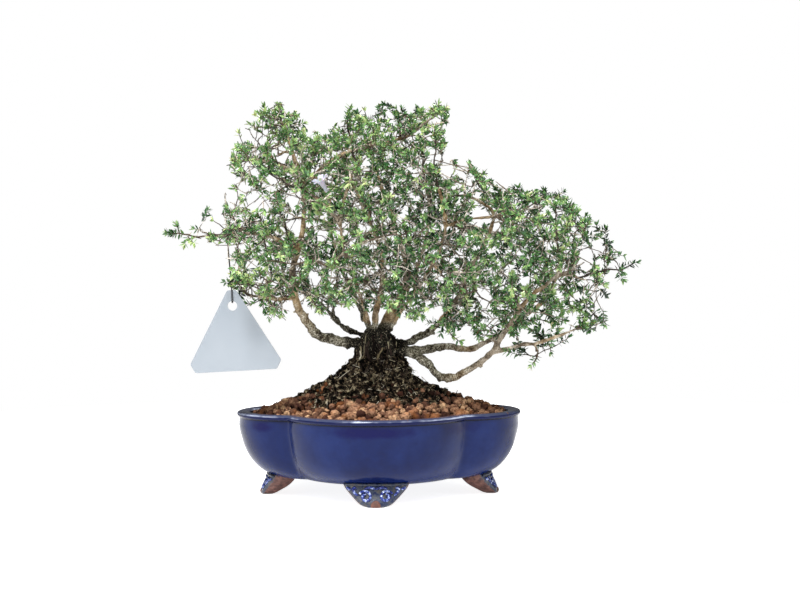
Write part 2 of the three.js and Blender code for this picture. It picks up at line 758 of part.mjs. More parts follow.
function distanceToStretch(p, { start, end, startRadius, endRadius }) {
  const way = end.clone().sub(start);
  const share = THREE.MathUtils.clamp(p.clone().sub(start).dot(way) / way.lengthSq(), 0, 1);
  const place = start.clone().addScaledVector(way, share);
  return p.distanceTo(place) - mix(startRadius, endRadius, share);
}

function roomBesideWood(wood, p) {
  return Math.min(...wood.map((stretch) => distanceToStretch(p, stretch)));
}

// The shoots of spray i. The first runs on from the branch; each of the others leaves the shoots
// so far where that is easiest. Their goals are the spray's known tips, then whichever point of
// its share is furthest from the goals so far, so that they reach all sides.
function growShoots(i, { shares, tips }, branch, fits, otherWood) {
  const [before, tip] = branch.points.slice(-2);
  const heading = tip.clone().sub(before).normalize();
  const start = tip.clone().addScaledVector(heading, GAP);
  const wayFits = (from, goal) => {
    const steps = Math.ceil(from.distanceTo(goal) / 1.5);
    const shares = Array.from({ length: steps }, (_, k) => (k + 1) / steps);
    return shares.every((share) => fits(from.clone().lerp(goal, share), share < 0.6 ? 0.7 : 0.3));
  };
  const known = shares[i].slice(0, tips[i]);
  const others = shares[i].slice(tips[i]);
  const ahead = (p) => p.clone().sub(start).dot(heading);
  others.sort((a, b) => ahead(b) - ahead(a));
  const shoots = [];
  const places = [];
  const tryShoot = (from, goal, radius, rootWay) => {
    const free = from.clone().addScaledVector(rootWay, 2);
    if (!fits(from, radius, otherWood) || !fits(free, radius, otherWood)) return false;
    if (from.distanceTo(goal) < SHORTEST_TWIG || !wayFits(free, goal)) return false;
    shoots.push({ from, goal, radius, rootWay });
    const woodEnd = goal.clone().lerp(from, LEAF_LENGTH / from.distanceTo(goal));
    const [stretch] = stretchesOf([from, woodEnd], [radius, NODE_RADIUS]);
    stretch.bearing = [0.3, 0.52, 0.74];
    places.push(stretch);
    return true;
  };
  for (const goal of known.concat(others)) {
    const forward = ahead(goal) > 0.6 * start.distanceTo(goal);
    if (forward && tryShoot(start, goal, STEM_RADIUS, heading)) break;
  }
  const taken = [start, ...shoots.map(({ goal }) => goal)];
  const wanted = Math.max(TWIGS_PER_SPRAY, known.length);
  while (shoots.length && shoots.length < wanted && known.length + others.length) {
    const pool = known.length ? known : others;
    const room = pool.map((p) => Math.min(...taken.map((q) => q.distanceTo(p))));
    const [goal] = pool.splice(room.indexOf(Math.max(...room)), 1);
    const { place, stretch, share } = branchPlace(places, goal);
    const way = goal.clone().sub(place).normalize();
    if (!tryShoot(place, goal, TWIG_RADIUS, way)) continue;
    taken.push(goal);
    stretch.bearing = stretch.bearing.filter((other) => other !== share);
  }
  return shoots;
}

function makeSpray(i, crown, wood, branch) {
  const others = wood.filter((stretch) => !branch.stretches.includes(stretch));
  const fits = (p, radius, besides = wood) =>
    roomInShare(crown.middles, i, p) > CELL_MARGIN + radius &&
    roomBesideWood(besides, p) > WOOD_CLEARANCE + radius;
  const shoots = growShoots(i, crown, branch, fits, others);
  return Manifold.union(shoots.map((shoot) => leafyTwig(shoot, fits)));
}

// ---------------------------------------------------------------- flower
function ringAbout(axis, centre, radius, sides) {
  const [u, v] = sideways(axis, UP);
  return Array.from({ length: sides }, (_, i) => {
    const angle = (2 * Math.PI * i) / sides;
    return centre
      .clone()
      .addScaledVector(u, radius * Math.cos(angle))
      .addScaledVector(v, radius * Math.sin(angle));
  });
}

function turnedOnBloomAxis(profile, start, sides) {
  const foot = point(BLOOM.x, BLOOM.y, BLOOM.z).addScaledVector(BLOOM_AXIS, start);
  const rings = profile.map(([along, radius]) =>
    ringAbout(BLOOM_AXIS, foot.clone().addScaledVector(BLOOM_AXIS, along), radius, sides),
  );
  return solid(loft(rings));
}

function makeCalyx() {
  const profile = [
    // [along the axis, radius]
    [0, 0.6],
    [0.4 * CALYX_LENGTH, 1.4],
    [CALYX_LENGTH, 1.7],
  ];
  return turnedOnBloomAxis(profile, -(FUNNEL_LENGTH + CALYX_LENGTH + GAP), 5);
}

// A petal's stations: [share of its length, width], then its tip.
const PETAL_STATIONS = [[0.4, 4.4], [0.78, 3.8]];
const PETAL_LENGTH = 5.2;
const PETAL_THICKNESS = 0.8;
const PETAL_RISE = 0.25; // how far a petal leans forward out of the flower's face

// The funnel-shaped corolla: a slender tube that opens into petals round an open throat. Each petal
// is drawn out of every second facet of the tube's rim.
function makeFlower() {
  const mouth = point(BLOOM.x, BLOOM.y, BLOOM.z);
  const profile = [
    // [along the axis from the mouth, radius], outside and then down the throat
    [-FUNNEL_LENGTH, 1.1],
    [-0.55 * FUNNEL_LENGTH, 1.3],
    [-0.3 * FUNNEL_LENGTH, 2],
    [-0.1 * FUNNEL_LENGTH, 3.2],
    [0, 3.7],
    [0, 2.9],
    [-0.25 * FUNNEL_LENGTH, 1.3],
    [-0.4 * FUNNEL_LENGTH, 0.6],
  ];
  const rings = profile.map(([along, radius]) =>
    ringAbout(BLOOM_AXIS, mouth.clone().addScaledVector(BLOOM_AXIS, along), radius, 2 * PETALS),
  );
  const rim = 3;
  const faces = loftFaces(rings, (k, i) => k === rim && i % 2 === 0);
  for (let i = 0; i < 2 * PETALS; i += 2) {
    const j = i + 1;
    const facet = [rings[rim][i], rings[rim][j], rings[rim + 1][j], rings[rim + 1][i]];
    const root = facet.reduce((sum, p) => sum.add(p), point(0, 0, 0)).divideScalar(4);
    const outwards = root.clone().sub(mouth);
    outwards.addScaledVector(BLOOM_AXIS, -outwards.dot(BLOOM_AXIS)).normalize();
    const heading = outwards.clone().addScaledVector(BLOOM_AXIS, PETAL_RISE).normalize();
    const face = BLOOM_AXIS.clone().addScaledVector(outwards, -PETAL_RISE).normalize();
    const across = facet[1].clone().sub(facet[0]).normalize();
    const place = (share, side, lift) =>
      root
        .clone()
        .addScaledVector(heading, share * PETAL_LENGTH)
        .addScaledVector(across, side)
        .addScaledVector(face, lift);
    let last = facet;
    for (const [share, width] of PETAL_STATIONS) {
      const corners = [[-1, -1], [1, -1], [1, 1], [-1, 1]];
      const next = corners.map(([side, lift]) =>
        place(share, (side * width) / 2, (lift * PETAL_THICKNESS) / 2),
      );
      faces.push(...bandFaces(last, next));
      last = next;
    }
    faces.push(...tipFaces(last, place(1, 0, 0)));
  }
  return solid(new THREE.BufferGeometry().setFromPoints(faces));
}

// ---------------------------------------------------------------- label and its wire
// Outline of the plate from its hole, [across, up]: a triangle with clipped corners.
const LABEL_OUTLINE = [
  [-29.2, -46.5],
  [29.2, -46.5],
  [32.6, -40.2],
  [3.2, 11.2],
  [-3.2, 11.2],
  [-32.6, -40.2],
];

function makeLabel() {
  const plate = new THREE.Shape(LABEL_OUTLINE.map(([u, v]) => new THREE.Vector2(u, v)));
  plate.holes.push(new THREE.Path().absarc(0, 0, LABEL_HOLE.radius, 0, 2 * Math.PI, true));
  const settings = { depth: LABEL_THICKNESS, bevelEnabled: false, curveSegments: 10 };
  const geometry = new THREE.ExtrudeGeometry(plate, settings)
    .rotateZ(LABEL_TILT)
    .rotateX(Math.PI / 2)
    .translate(LABEL_HOLE.x, LABEL_HOLE.y + LABEL_THICKNESS / 2, LABEL_HOLE.z);
  return solid(geometry);
}

// The wire hooks over the long left branch, hangs down in front of the plate, goes back through
// its hole and turns up behind it.
const WIRE_ROUTE = [
  [-105.2, -37.2, 187], [-105.2, -37, 190.6], [-105.2, -38.3, 193.3], [-105.2, -41, 193.6],
  [-105.2, -42.6, 190.5], [-104.9, -43.2, 184], [-103.6, -43.8, 168], [-102.4, -45, 155],
  [-102, -45.6, 147], [-102, -45.4, 143.6], [-102, -44, 142.9], [-102, -42.7, 143.6],
  [-102, -42.4, 147.5],
];

function makeWire() {
  const route = WIRE_ROUTE.map((p) => point(...p));
  return solid(limb(route, Array(route.length).fill(WIRE_RADIUS), 5));
}

// What the leaves keep clear of besides the wood: the bloom, the wire and the label's edges.
function obstacles() {
  const bloom = point(BLOOM.x, BLOOM.y, BLOOM.z);
  const foot = bloom.clone().addScaledVector(BLOOM_AXIS, -FUNNEL_LENGTH - CALYX_LENGTH);
  const mouth = bloom.clone().addScaledVector(BLOOM_AXIS, 4);
  const corner = ([u, v]) => point(LABEL_HOLE.x + u, LABEL_HOLE.y, LABEL_HOLE.z + v);
  const edge = (a, b) => stretchesOf([corner(LABEL_OUTLINE[a]), corner(LABEL_OUTLINE[b])], [3, 3]);
  const route = WIRE_ROUTE.map((p) => point(...p));
  return [
    ...stretchesOf([foot, mouth], [2, 9]),
    ...stretchesOf(route, Array(route.length).fill(1.2)),
    ...edge(1, 3),
    ...edge(3, 5),
    ...edge(5, 1),
  ];
}

// ---------------------------------------------------------------- assembly
function finish(color, roughness, metalness = 0) {
  return new THREE.MeshStandardMaterial({ color, roughness, metalness });
}

const FINISHES = {
  glaze: finish(0x2a3470, 0.15),
  plastic: finish(0x1c1c1e, 0.5),
  soil: finish(0x8a5638, 0.95),
  mound: finish(0x2f2a20, 0.95),
  bark: finish(0x9c8468, 0.85),
  leaf: finish(0x3f7a34, 0.55),
  petal: finish(0xe9e4f0, 0.5),
  label: finish(0xc6cdd4, 0.4),
  wire: finish(0x2b2b2b, 0.5),
};

const bonsai = new THREE.Group();
bonsai.name = "serissa_bonsai";

function add(name, piece, material) {
  const { vertProperties, triVerts } = piece.getMesh();
  const geometry = new THREE.BufferGeometry();
  geometry.setAttribute("position", new THREE.BufferAttribute(vertProperties, 3));
  geometry.setIndex(new THREE.BufferAttribute(triVerts, 1));
  geometry.computeVertexNormals();
  const mesh = new THREE.Mesh(geometry, material);
  mesh.name = name;
  bonsai.add(mesh);
}

add("pot", makePot(), FINISHES.glaze);
add("drain_mesh_left", makeDrainMesh(-DRAIN_X), FINISHES.plastic);
add("drain_mesh_right", makeDrainMesh(DRAIN_X), FINISHES.plastic);
add("soil", makeSoil(), FINISHES.soil);
add("mound", makeMound(), FINISHES.mound);

const crown = shareCrown();
const tree = growWood(crown.middles);
const inTheWay = tree.wood.concat(obstacles());
add("tree", makeTree(tree), FINISHES.bark);
crown.middles.forEach((_, i) => {
  const name = `spray_${String(i + 1).padStart(2, "0")}`;
  add(name, makeSpray(i, crown, inTheWay, tree.branches[i]), FINISHES.leaf);
});
add("calyx", makeCalyx(), FINISHES.leaf);
add("flower", makeFlower(), FINISHES.petal);
add("label", makeLabel(), FINISHES.label);
add("label_wire", makeWire(), FINISHES.wire);

// The frame's origin: the middle of the object's outline, on the ground.
const outline = new THREE.Box3().setFromObject(bonsai, true);
bonsai.position.set(-(outline.min.x + outline.max.x) / 2, -(outline.min.y + outline.max.y) / 2, 0);
bonsai.updateMatrixWorld(true);

export default bonsai;
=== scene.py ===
"""The looks of a serissa bonsai in its glazed mokko pot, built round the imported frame.

Pieces are shaped in millimetres round the pot's middle, with the front towards -Y and the feet on
z = 0, and PLACE puts each finished mesh in the frame.
"""

import functools
import math

import bmesh
import bpy
import numpy as np
from mathutils import Matrix, Vector, noise


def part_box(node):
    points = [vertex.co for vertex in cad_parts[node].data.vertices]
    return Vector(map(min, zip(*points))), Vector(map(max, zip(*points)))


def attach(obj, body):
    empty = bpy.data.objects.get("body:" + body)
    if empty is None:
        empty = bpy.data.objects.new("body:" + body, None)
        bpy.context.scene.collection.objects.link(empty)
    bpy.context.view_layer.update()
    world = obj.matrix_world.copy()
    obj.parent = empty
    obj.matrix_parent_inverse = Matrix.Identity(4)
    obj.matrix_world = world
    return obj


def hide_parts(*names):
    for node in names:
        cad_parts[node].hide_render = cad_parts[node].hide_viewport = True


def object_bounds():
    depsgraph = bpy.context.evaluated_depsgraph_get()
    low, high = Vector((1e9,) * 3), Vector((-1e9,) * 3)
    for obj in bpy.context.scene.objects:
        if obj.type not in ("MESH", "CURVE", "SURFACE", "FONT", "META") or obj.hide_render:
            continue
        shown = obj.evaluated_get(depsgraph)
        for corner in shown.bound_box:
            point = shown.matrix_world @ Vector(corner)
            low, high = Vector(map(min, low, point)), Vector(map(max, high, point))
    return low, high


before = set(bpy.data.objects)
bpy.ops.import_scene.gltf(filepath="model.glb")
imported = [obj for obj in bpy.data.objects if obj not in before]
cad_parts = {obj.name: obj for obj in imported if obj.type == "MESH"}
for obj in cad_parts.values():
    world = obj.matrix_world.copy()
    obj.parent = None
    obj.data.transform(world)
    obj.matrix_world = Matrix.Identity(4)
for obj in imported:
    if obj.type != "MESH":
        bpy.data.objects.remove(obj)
cad_box = [list(corner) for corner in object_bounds()]
noise.seed_set(7)  # without it, noise_vector starts from the clock and differs in each run

pot_low, pot_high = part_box("pot")
MM = 0.001
PLACE = Matrix.Translation(((pot_low.x + pot_high.x) / 2, (pot_low.y + pot_high.y) / 2, 0))
PLACE = PLACE @ Matrix.Scale(MM, 4)

# ------------------------------------------------ driving dimensions, as the solids'
RIM = {"length": 105, "depth": 83, "crease_x": 64, "crease_y": 45}
BASE = {"length": 74, "depth": 58, "crease_x": 50, "crease_y": 31}
POT_HEIGHT = 62
BELLY_BOTTOM = 14
BELLY_TOP = 52
WALL_INSET = 2
INNER_INSET = 8
LIP_WIDTH = 9
FLOOR_TOP = 17.5
DRAIN_RADIUS = 7
DRAIN_X = 32
MOUND_FLATTENING = 0.75
HOLLOW_FLANK = 0.3  # how much the mound's right flank is drawn in, at most

SPRAYS = 38
CROWN_POINTS = 3200
SETTLING_ROUNDS = 8
CROWN_HALF_DEPTH = 92
CROWN_EDGE_DEPTH = 26
TWIGS_PER_SPRAY = 5
LEAF_LENGTH = 8
LEAFY_INSIDE = 0.12  # the share of twigs that bear leaves, in the crown's middle and at its skin
LEAFY_OUTSIDE = 0.8
CELL_MARGIN = 0.5
WOOD_CLEARANCE = 0.6
GAP = 0.3

BLOOM = np.array([-37.0, -64.0, 228.0])
BLOOM_AXIS = np.array([-0.42, -0.42, 0.8])
BLOOM_AXIS = BLOOM_AXIS / np.linalg.norm(BLOOM_AXIS)
FUNNEL_LENGTH = 10
PETALS = 5
CALYX_LENGTH = 3
LABEL_HOLE = (-102, -44, 140.5)
LABEL_HOLE_RADIUS = 3.4
LABEL_TILT = math.radians(2.8)
LABEL_THICKNESS = 0.8
LABEL_CORNER = 1.2
LABEL_EDGE = 0.2
WIRE_RADIUS = 0.5
LABEL_OUTLINE = [(-29.2, -46.5), (29.2, -46.5), (32.6, -40.2), (3.2, 11.2), (-3.2, 11.2),
                 (-32.6, -40.2)]
WIRE_ROUTE = [
    (-105.2, -37.2, 187), (-105.2, -37, 190.6), (-105.2, -38.3, 193.3), (-105.2, -41, 193.6),
    (-105.2, -42.6, 190.5), (-104.9, -43.2, 184), (-103.6, -43.8, 168), (-102.4, -45, 155),
    (-102, -45.6, 147), (-102, -45.4, 143.6), (-102, -44, 142.9), (-102, -42.7, 143.6),
    (-102, -42.4, 147.5),
]

# Camera: the image's size and focal length in pixels, its place and its turns.
IMAGE_WIDTH = 800
FOCAL_PIXELS = 1352
CAMERA_PLACE = Vector((37.4, -1003.4, 160))
CAMERA_TURN = math.radians(1.2)
CAMERA_DIP = math.radians(1.2)
CAMERA_ROLL = math.radians(0.43)
ROOM_LIGHT = 0.14  # how bright the white room is as a light
TABLE_RADIUS = 0.8
TABLE_GLOW = 0.3  # the lit table that the pot stands on, as a light and to the eye
TABLE_BRIGHTNESS = 0.88
WHITE = (1, 1, 1, 1)
SUN_WIDTH = math.radians(17)  # wide, so that its shadows are soft
SUN_POWER = 3.9
SUN_HEADING = Vector((0.22, 0.5, -1))
LIGHT_AIM = Vector((0, 0, 0.15))


# ------------------------------------------------ small helpers
def seeded(seed):
    """A seeded draw between 0 and 1, by Park and Miller's rule."""
    state = seed

    def draw():
        nonlocal state
        state = (state * 16807) % 2147483647
        return state / 2147483647

    return draw


def mix(a, b, share):
    return a + (b - a) * share


def clamp(value):
    return min(1, max(0, value))


def unit(vector):
    return vector / np.linalg.norm(vector)


def any_way(draw):
    """A vector that may point anywhere."""
    return np.array([draw() - 0.5 for _ in range(3)])


def tumbled(draw):
    """A turn that may be any."""
    return Matrix.Rotation(6.3 * draw(), 4, "X") @ Matrix.Rotation(6.3 * draw(), 4, "Y")


def along_axes(x, y, z):
    """The turn that lays a thing's own axes along these three."""
    return Matrix((x, y, z)).transposed().to_4x4()


def in_scene(name, data):
    item = bpy.data.objects.new(name, data)
    bpy.context.scene.collection.objects.link(item)
    return item


def mesh_of(bm, name):
    """The mesh that a bmesh becomes; the bmesh is used up."""
    mesh = bpy.data.meshes.new(name)
    bm.to_mesh(mesh)
    bm.free()
    return mesh


def face_outwards(bm):
    bmesh.ops.recalc_face_normals(bm, faces=bm.faces[:])


def move_all(bm, matrix):
    bmesh.ops.transform(bm, matrix=matrix, verts=bm.verts[:])


def give_tone(bm, value):
    """One tone for all of a piece, for the materials that go by tone."""
    tone = bm.verts.layers.float.new("tone")
    for v in bm.verts:
        v[tone] = value


def seated(name, shape, material, replaces=(), smooth=True):
    """A finished piece, of a bmesh or a mesh, put in the frame and riding on the one body."""
    mesh = mesh_of(shape, name) if isinstance(shape, bmesh.types.BMesh) else shape
    mesh.transform(PLACE)
    mesh.polygons.foreach_set("use_smooth", [smooth] * len(mesh.polygons))
    mesh.materials.append(material)
    piece = in_scene(name, mesh)
    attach(piece, "root")
    if replaces:
        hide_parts(*replaces)


def modified(mesh, kind, **settings):
    """The mesh that one modifier makes of another mesh."""
    worker = in_scene("worker", mesh)
    modifier = worker.modifiers.new("work", kind)
    for name, value in settings.items():
        setattr(modifier, name, value)
    graph = bpy.context.evaluated_depsgraph_get()
    made = bpy.data.meshes.new_from_object(worker.evaluated_get(graph))
    bpy.data.objects.remove(worker)
    return made


def smooth_path(points, steps):
    """Points on a curve that passes through the given ones, steps to each stretch."""
    points = [np.array(p, float) for p in points]
    ends = [2 * points[0] - points[1], *points, 2 * points[-1] - points[-2]]
    path = []
    for before, start, end, after in zip(ends, ends[1:], ends[2:], ends[3:]):
        for k in range(steps):
            t = k / steps
            path.append(0.5 * (
                2 * start + (end - before) * t
                + (2 * before - 5 * start + 4 * end - after) * t ** 2
                + (3 * start - before - 3 * end + after) * t ** 3
            ))
    path.append(points[-1])
    return path


def path_frames(path):
    """A matrix at each point of a path, with Z along the path and as little twist as can be."""
    path = [Vector(p) for p in path]
    matrices = []
    side = Vector((0.3, 0.9, 0.1))
    for k, p in enumerate(path):
        heading = (path[min(k + 1, len(path) - 1)] - path[max(k - 1, 0)]).normalized()
        side = side - side.dot(heading) * heading
        if side.length < 1e-3:
            side = heading.orthogonal()
        side.normalize()
        matrices.append(Matrix.Translation(p) @ along_axes(side, heading.cross(side), heading))
    return matrices


def sweep(bm, path, radii, sides):
    """A closed round tube along a path, its first ring drawn on from place to place."""
    last = None
    for matrix, radius in zip(path_frames(path), radii):
        place = matrix @ Matrix.Scale(radius, 4)
        if last is None:
            ring = bmesh.ops.create_circle(bm, cap_ends=True, radius=1, segments=sides,
                                           matrix=place)
            first = ring["verts"]
            edges = list(dict.fromkeys(e for v in first for e in v.link_edges))
        else:
            drawn = bmesh.ops.extrude_edge_only(bm, edges=edges)["geom"]
            edges = [e for e in drawn if isinstance(e, bmesh.types.BMEdge)
                     and all(v not in first for v in e.verts) and len(e.link_faces) == 1]
            verts = list(dict.fromkeys(v for e in edges for v in e.verts))
            bmesh.ops.transform(bm, matrix=place @ last.inverted(), verts=verts)
            first = verts
        last = place
    bmesh.ops.contextual_create(bm, geom=edges)


def copies(template, rows):
    """Many copies of one small triangulated mesh in one, from rows of (matrix, tone)."""
    corners = np.empty(len(template.vertices) * 3)
    template.vertices.foreach_get("co", corners)
    corners = np.c_[corners.reshape(-1, 3), np.ones(len(template.vertices))]
    faces = np.array([f.vertices[:] for f in template.polygons])
    matrices = np.array([matrix for matrix, _ in rows])
    tones = np.array([tone for _, tone in rows], np.float32)
    placed = np.einsum("nij,kj->nki", matrices[:, :3, :], corners)
    shift = np.arange(len(matrices))[:, None, None] * len(corners)
    mesh = bpy.data.meshes.new(template.name)
    mesh.from_pydata(placed.reshape(-1, 3), [], (faces[None] + shift).reshape(-1, 3))
    tone = mesh.attributes.new("tone", "FLOAT", "POINT")
    tone.data.foreach_set("value", np.repeat(tones, len(corners)))
    if "rib" in template.attributes:
        rib = np.empty(len(corners), np.float32)
        template.attributes["rib"].data.foreach_get("value", rib)
        made = mesh.attributes.new("rib", "FLOAT", "POINT")
        made.data.foreach_set("value", np.tile(rib, len(matrices)))
    return mesh


def template_of(bm, name):
    """A bmesh as a triangulated template for copies."""
    bmesh.ops.triangulate(bm, faces=bm.faces[:])
    face_outwards(bm)
    return mesh_of(bm, name)


def sown(templates, draw_row, count):
    """Copies of the templates in turn, one for each row that draw_row gives."""
    sets = [[] for _ in templates]
    for k in range(count):
        sets[k % len(templates)].append(draw_row(k))
    bm = bmesh.new()
    for template, rows in zip(templates, sets):
        bm.from_mesh(copies(template, rows))
    return bm


# ------------------------------------------------ materials
def hex_colour(text):
    """An sRGB hex value as the linear colour that a shader takes."""
    parts = [int(text[i:i + 2], 16) / 255 for i in (1, 3, 5)]
    return (*(c / 12.92 if c <= 0.04045 else ((c + 0.055) / 1.055) ** 2.4 for c in parts), 1)


def set_sockets(node, **values):
    """Gives sockets their values, hex colours or links. x_y stands for the socket X Y, and _6 for
    the one at place 6."""
    for name, value in values.items():
        socket = node.inputs[int(name[1:]) if name[0] == "_" else name.replace("_", " ")]
        if isinstance(value, bpy.types.NodeSocket):
            node.id_data.links.new(value, socket)
        else:
            socket.default_value = hex_colour(value) if isinstance(value, str) else value


def add_node(tree, kind, output=0, settings=None, stops=(), **sockets):
    """Adds a node with its settings, colour stops (place, hex or grey) and sockets, and returns
    the output asked for."""
    node = tree.nodes.new("ShaderNode" + kind)
    for name, value in (settings or {}).items():
        setattr(node, name, value)
    set_sockets(node, **sockets)
    if stops:
        points = node.color_ramp.elements
        while len(points) < len(stops):
            points.new(0.5)
        for point, (place, value) in zip(points, stops):
            point.position = place
            point.color = hex_colour(value) if isinstance(value, str) else (value, value, value, 1)
    return node.outputs[output]


def new_material(name):
    """A material with only a shader and its output; returns it, its shader, and add_node for it."""
    material = bpy.data.materials.new(name)
    material.use_nodes = True
    tree = material.node_tree
    shader = next(n for n in tree.nodes if n.type == "BSDF_PRINCIPLED")
    return material, shader, functools.partial(add_node, tree)


def scale_of(size_mm):
    """The scale of a pattern whose features are about size_mm across."""
    return 1 / (size_mm * MM)


RGB = {"data_type": "RGBA"}  # for a Mix, whose colours are its sockets 6 and 7 and its output 2
TIMES_PLUS = {"operation": "MULTIPLY_ADD"}
POOLS_AND_DARK_REFLECTIONS = [
    # places under the lip painted near black, for pooled glaze and as a painted dark reflection:
    # (place, reach along each axis)
    ((-3, -82, 53.5), (38, 26, 5)), ((66, -56, 53.5), (17, 18, 6)), ((-84, -44, 53.5), (12, 20, 5)),
    ((20, 82, 53.5), (34, 26, 5)), ((-70, 58, 53), (16, 18, 5)),
]


def glazed_stoneware():
    """Cobalt glaze over brown stoneware, dipped and fired: deep and wet-looking, painted almost
    black in patches under the lip for pooled glaze and as a painted dark reflection, with a painted
    shadow under the lip's roll, a painted highlight along it, and grey and brown on the thin crest,
    the grey partly a painted reflection."""
    material, shader, add = new_material("cobalt_glaze_on_stoneware")
    place = add("TexCoord", "Object")
    height = add("SeparateXYZ", "Z", Vector=place)
    cloud = add("TexNoise", Vector=place, Scale=scale_of(34), Detail=4, Roughness=0.6)
    speck = add("TexNoise", Vector=place, Scale=scale_of(2.2), Detail=2, Roughness=0.6)
    wobble = add("TexNoise", Vector=place, Scale=scale_of(9), Detail=4, Roughness=0.6)
    # breaks up the painted highlight line along the lip
    run = add("TexNoise", Vector=place, Scale=scale_of(26), Detail=3, Roughness=0.6)
    knock = add("TexNoise", Vector=place, Scale=scale_of(4.5), Detail=3, Roughness=0.6)
    peel = add("TexNoise", Vector=place, Scale=scale_of(3.5), Detail=1, Roughness=0.6)
    body = add("ValToRGB", Fac=cloud,
               stops=[(0.3, "#09143F"), (0.5, "#0D1D4E"), (0.68, "#15265A")])
    specked = add("ValToRGB", Fac=speck, stops=[(0.62, 0.0), (0.75, 0.3)])
    body = add("Mix", 2, RGB, _0=specked, _6=body, _7="#0E1440")
    for centre, size in POOLS_AND_DARK_REFLECTIONS:
        scale = [scale_of(reach) for reach in size]
        shift = [-c * k for c, k in zip(PLACE @ Vector(centre), scale)]
        local = add("Mapping", Vector=place, Scale=scale, Location=shift)
        away = add("VectorMath", "Value", {"operation": "LENGTH"}, _0=local)
        uneven = add("Math", settings=TIMES_PLUS, _0=wobble, _1=0.9, _2=away)
        near = add("MapRange", Value=uneven, From_Min=0.9, From_Max=1.5, To_Min=1.0, To_Max=0.0)
        # painted reflection: each patch is darkened as pooled glaze and as the wall's reflection of
        # the dim room
        body = add("Mix", 2, RGB, _0=near, _6=body, _7="#000442")
    # painted highlight: a pale broken line along the lip's face, standing in for its glint
    lip_highlight_breaks = add("ValToRGB", Fac=run, stops=[(0.46, 0.05), (0.62, 0.9)])
    painted_lip_highlight = add("Mix", 2, RGB, _0=lip_highlight_breaks, _6="#2C3352", _7="#B4BCD2")
    chipped = add("ValToRGB", Fac=knock, stops=[(0.64, 0.0), (0.68, 1.0)])
    # thin glaze on the lip's crest: brown chips, and a grey that is partly a painted reflection of
    # the bright room
    crest = add("Mix", 2, RGB, _0=chipped, _6="#42465E", _7="#6A4A3E")
    level = add("Math", settings=TIMES_PLUS, _0=wobble, _1=2.2 * MM, _2=height)
    bands = [
        # up the lip: (height, where the coat starts, where it is whole, coat)
        # painted shadow: the first band is an almost black line just under the lip's roll
        (height, 57.2, 57.6, "#02041E"), (height, 58.2, 58.6, "#0C1440"),
        # painted highlight: the pale broken line below the crest, then the crest itself
        (height, 60.2, 60.7, painted_lip_highlight), (level, 62.2, 62.7, crest),
    ]
    for measure, start, whole, coat in bands:
        share = add("MapRange", Value=measure, From_Min=start * MM, From_Max=whole * MM)
        body = add("Mix", 2, RGB, _0=share, _6=body, _7=coat)
    rough = add("ValToRGB", Fac=speck, stops=[(0.3, 0.1), (0.7, 0.17)])
    bump = add("Bump", Height=peel, Distance=0.12 * MM, Strength=0.5)
    set_sockets(shader, Base_Color=body, Roughness=rough, IOR=1.27, Normal=bump)
    return material


def foot_glaze():
    """The same glaze where it lies thin over the carved feet: a dark olive blue, worn through to
    the brown clay on the back of each foot and along its lower edge."""
    material, shader, add = new_material("thin_glaze_on_carved_feet")
    place = add("TexCoord", "Object")
    cloud = add("TexNoise", Vector=place, Scale=scale_of(3), Detail=5, Roughness=0.6)
    worn = add("Attribute", "Fac", {"attribute_name": "worn"})
    ground = add("ValToRGB", Fac=cloud,
                 stops=[(0.35, "#1A2140"), (0.5, "#39404E"), (0.64, "#4E4A48")])
    clay = add("ValToRGB", Fac=cloud,
               stops=[(0.35, "#3A221E"), (0.55, "#66423A"), (0.7, "#7E5A50")])
    edge = add("Math", settings=TIMES_PLUS, _0=cloud, _1=0.7, _2=worn)
    bare = add("MapRange", Value=edge, From_Min=0.72, From_Max=0.92)
    colour = add("Mix", 2, RGB, _0=bare, _6=ground, _7=clay)
    rough = add("ValToRGB", Fac=bare, stops=[(0.0, 0.22), (1.0, 0.6)])
    bump = add("Bump", Height=cloud, Distance=0.35 * MM, Strength=0.7)
    set_sockets(shader, Base_Color=colour, Roughness=rough, IOR=1.45, Normal=bump)
    return material


def carved_glaze():
    """Bright cobalt glaze gathered on the raised scrolls, with painted white glints."""
    material, shader, add = new_material("thick_glaze_on_scrolls")
    place = add("TexCoord", "Object")
    cloud = add("TexNoise", Vector=place, Scale=scale_of(1.8), Detail=3, Roughness=0.6)
    # painted highlight: the ramp's white top stands for glints on the glaze
    colour = add("ValToRGB", Fac=cloud,
                 stops=[(0.38, "#0A1450"), (0.5, "#1D2F80"), (0.58, "#6E80B8"), (0.67, "#DDE3EE")])
    bump = add("Bump", Height=cloud, Distance=0.2 * MM, Strength=0.6)
    set_sockets(shader, Base_Color=colour, Roughness=0.12, IOR=1.5, Normal=bump)
    return material


def bare_stoneware():
    """Unglazed iron-bearing clay, wiped clean before firing: dry, reddish brown and gritty."""
    material, shader, add = new_material("bare_stoneware")
    place = add("TexCoord", "Object")
    cloud = add("TexNoise", Vector=place, Scale=scale_of(6), Detail=5, Roughness=0.6)
    grit = add("TexNoise", Vector=place, Scale=scale_of(0.7), Detail=3, Roughness=0.6)
    colour = add("ValToRGB", Fac=cloud,
                 stops=[(0.3, "#3E2620"), (0.55, "#6E4638"), (0.75, "#8A6252")])
    bump = add("Bump", Height=grit, Distance=0.25 * MM, Strength=0.6)
    set_sockets(shader, Base_Color=colour, Roughness=0.7, Normal=bump)
    return material


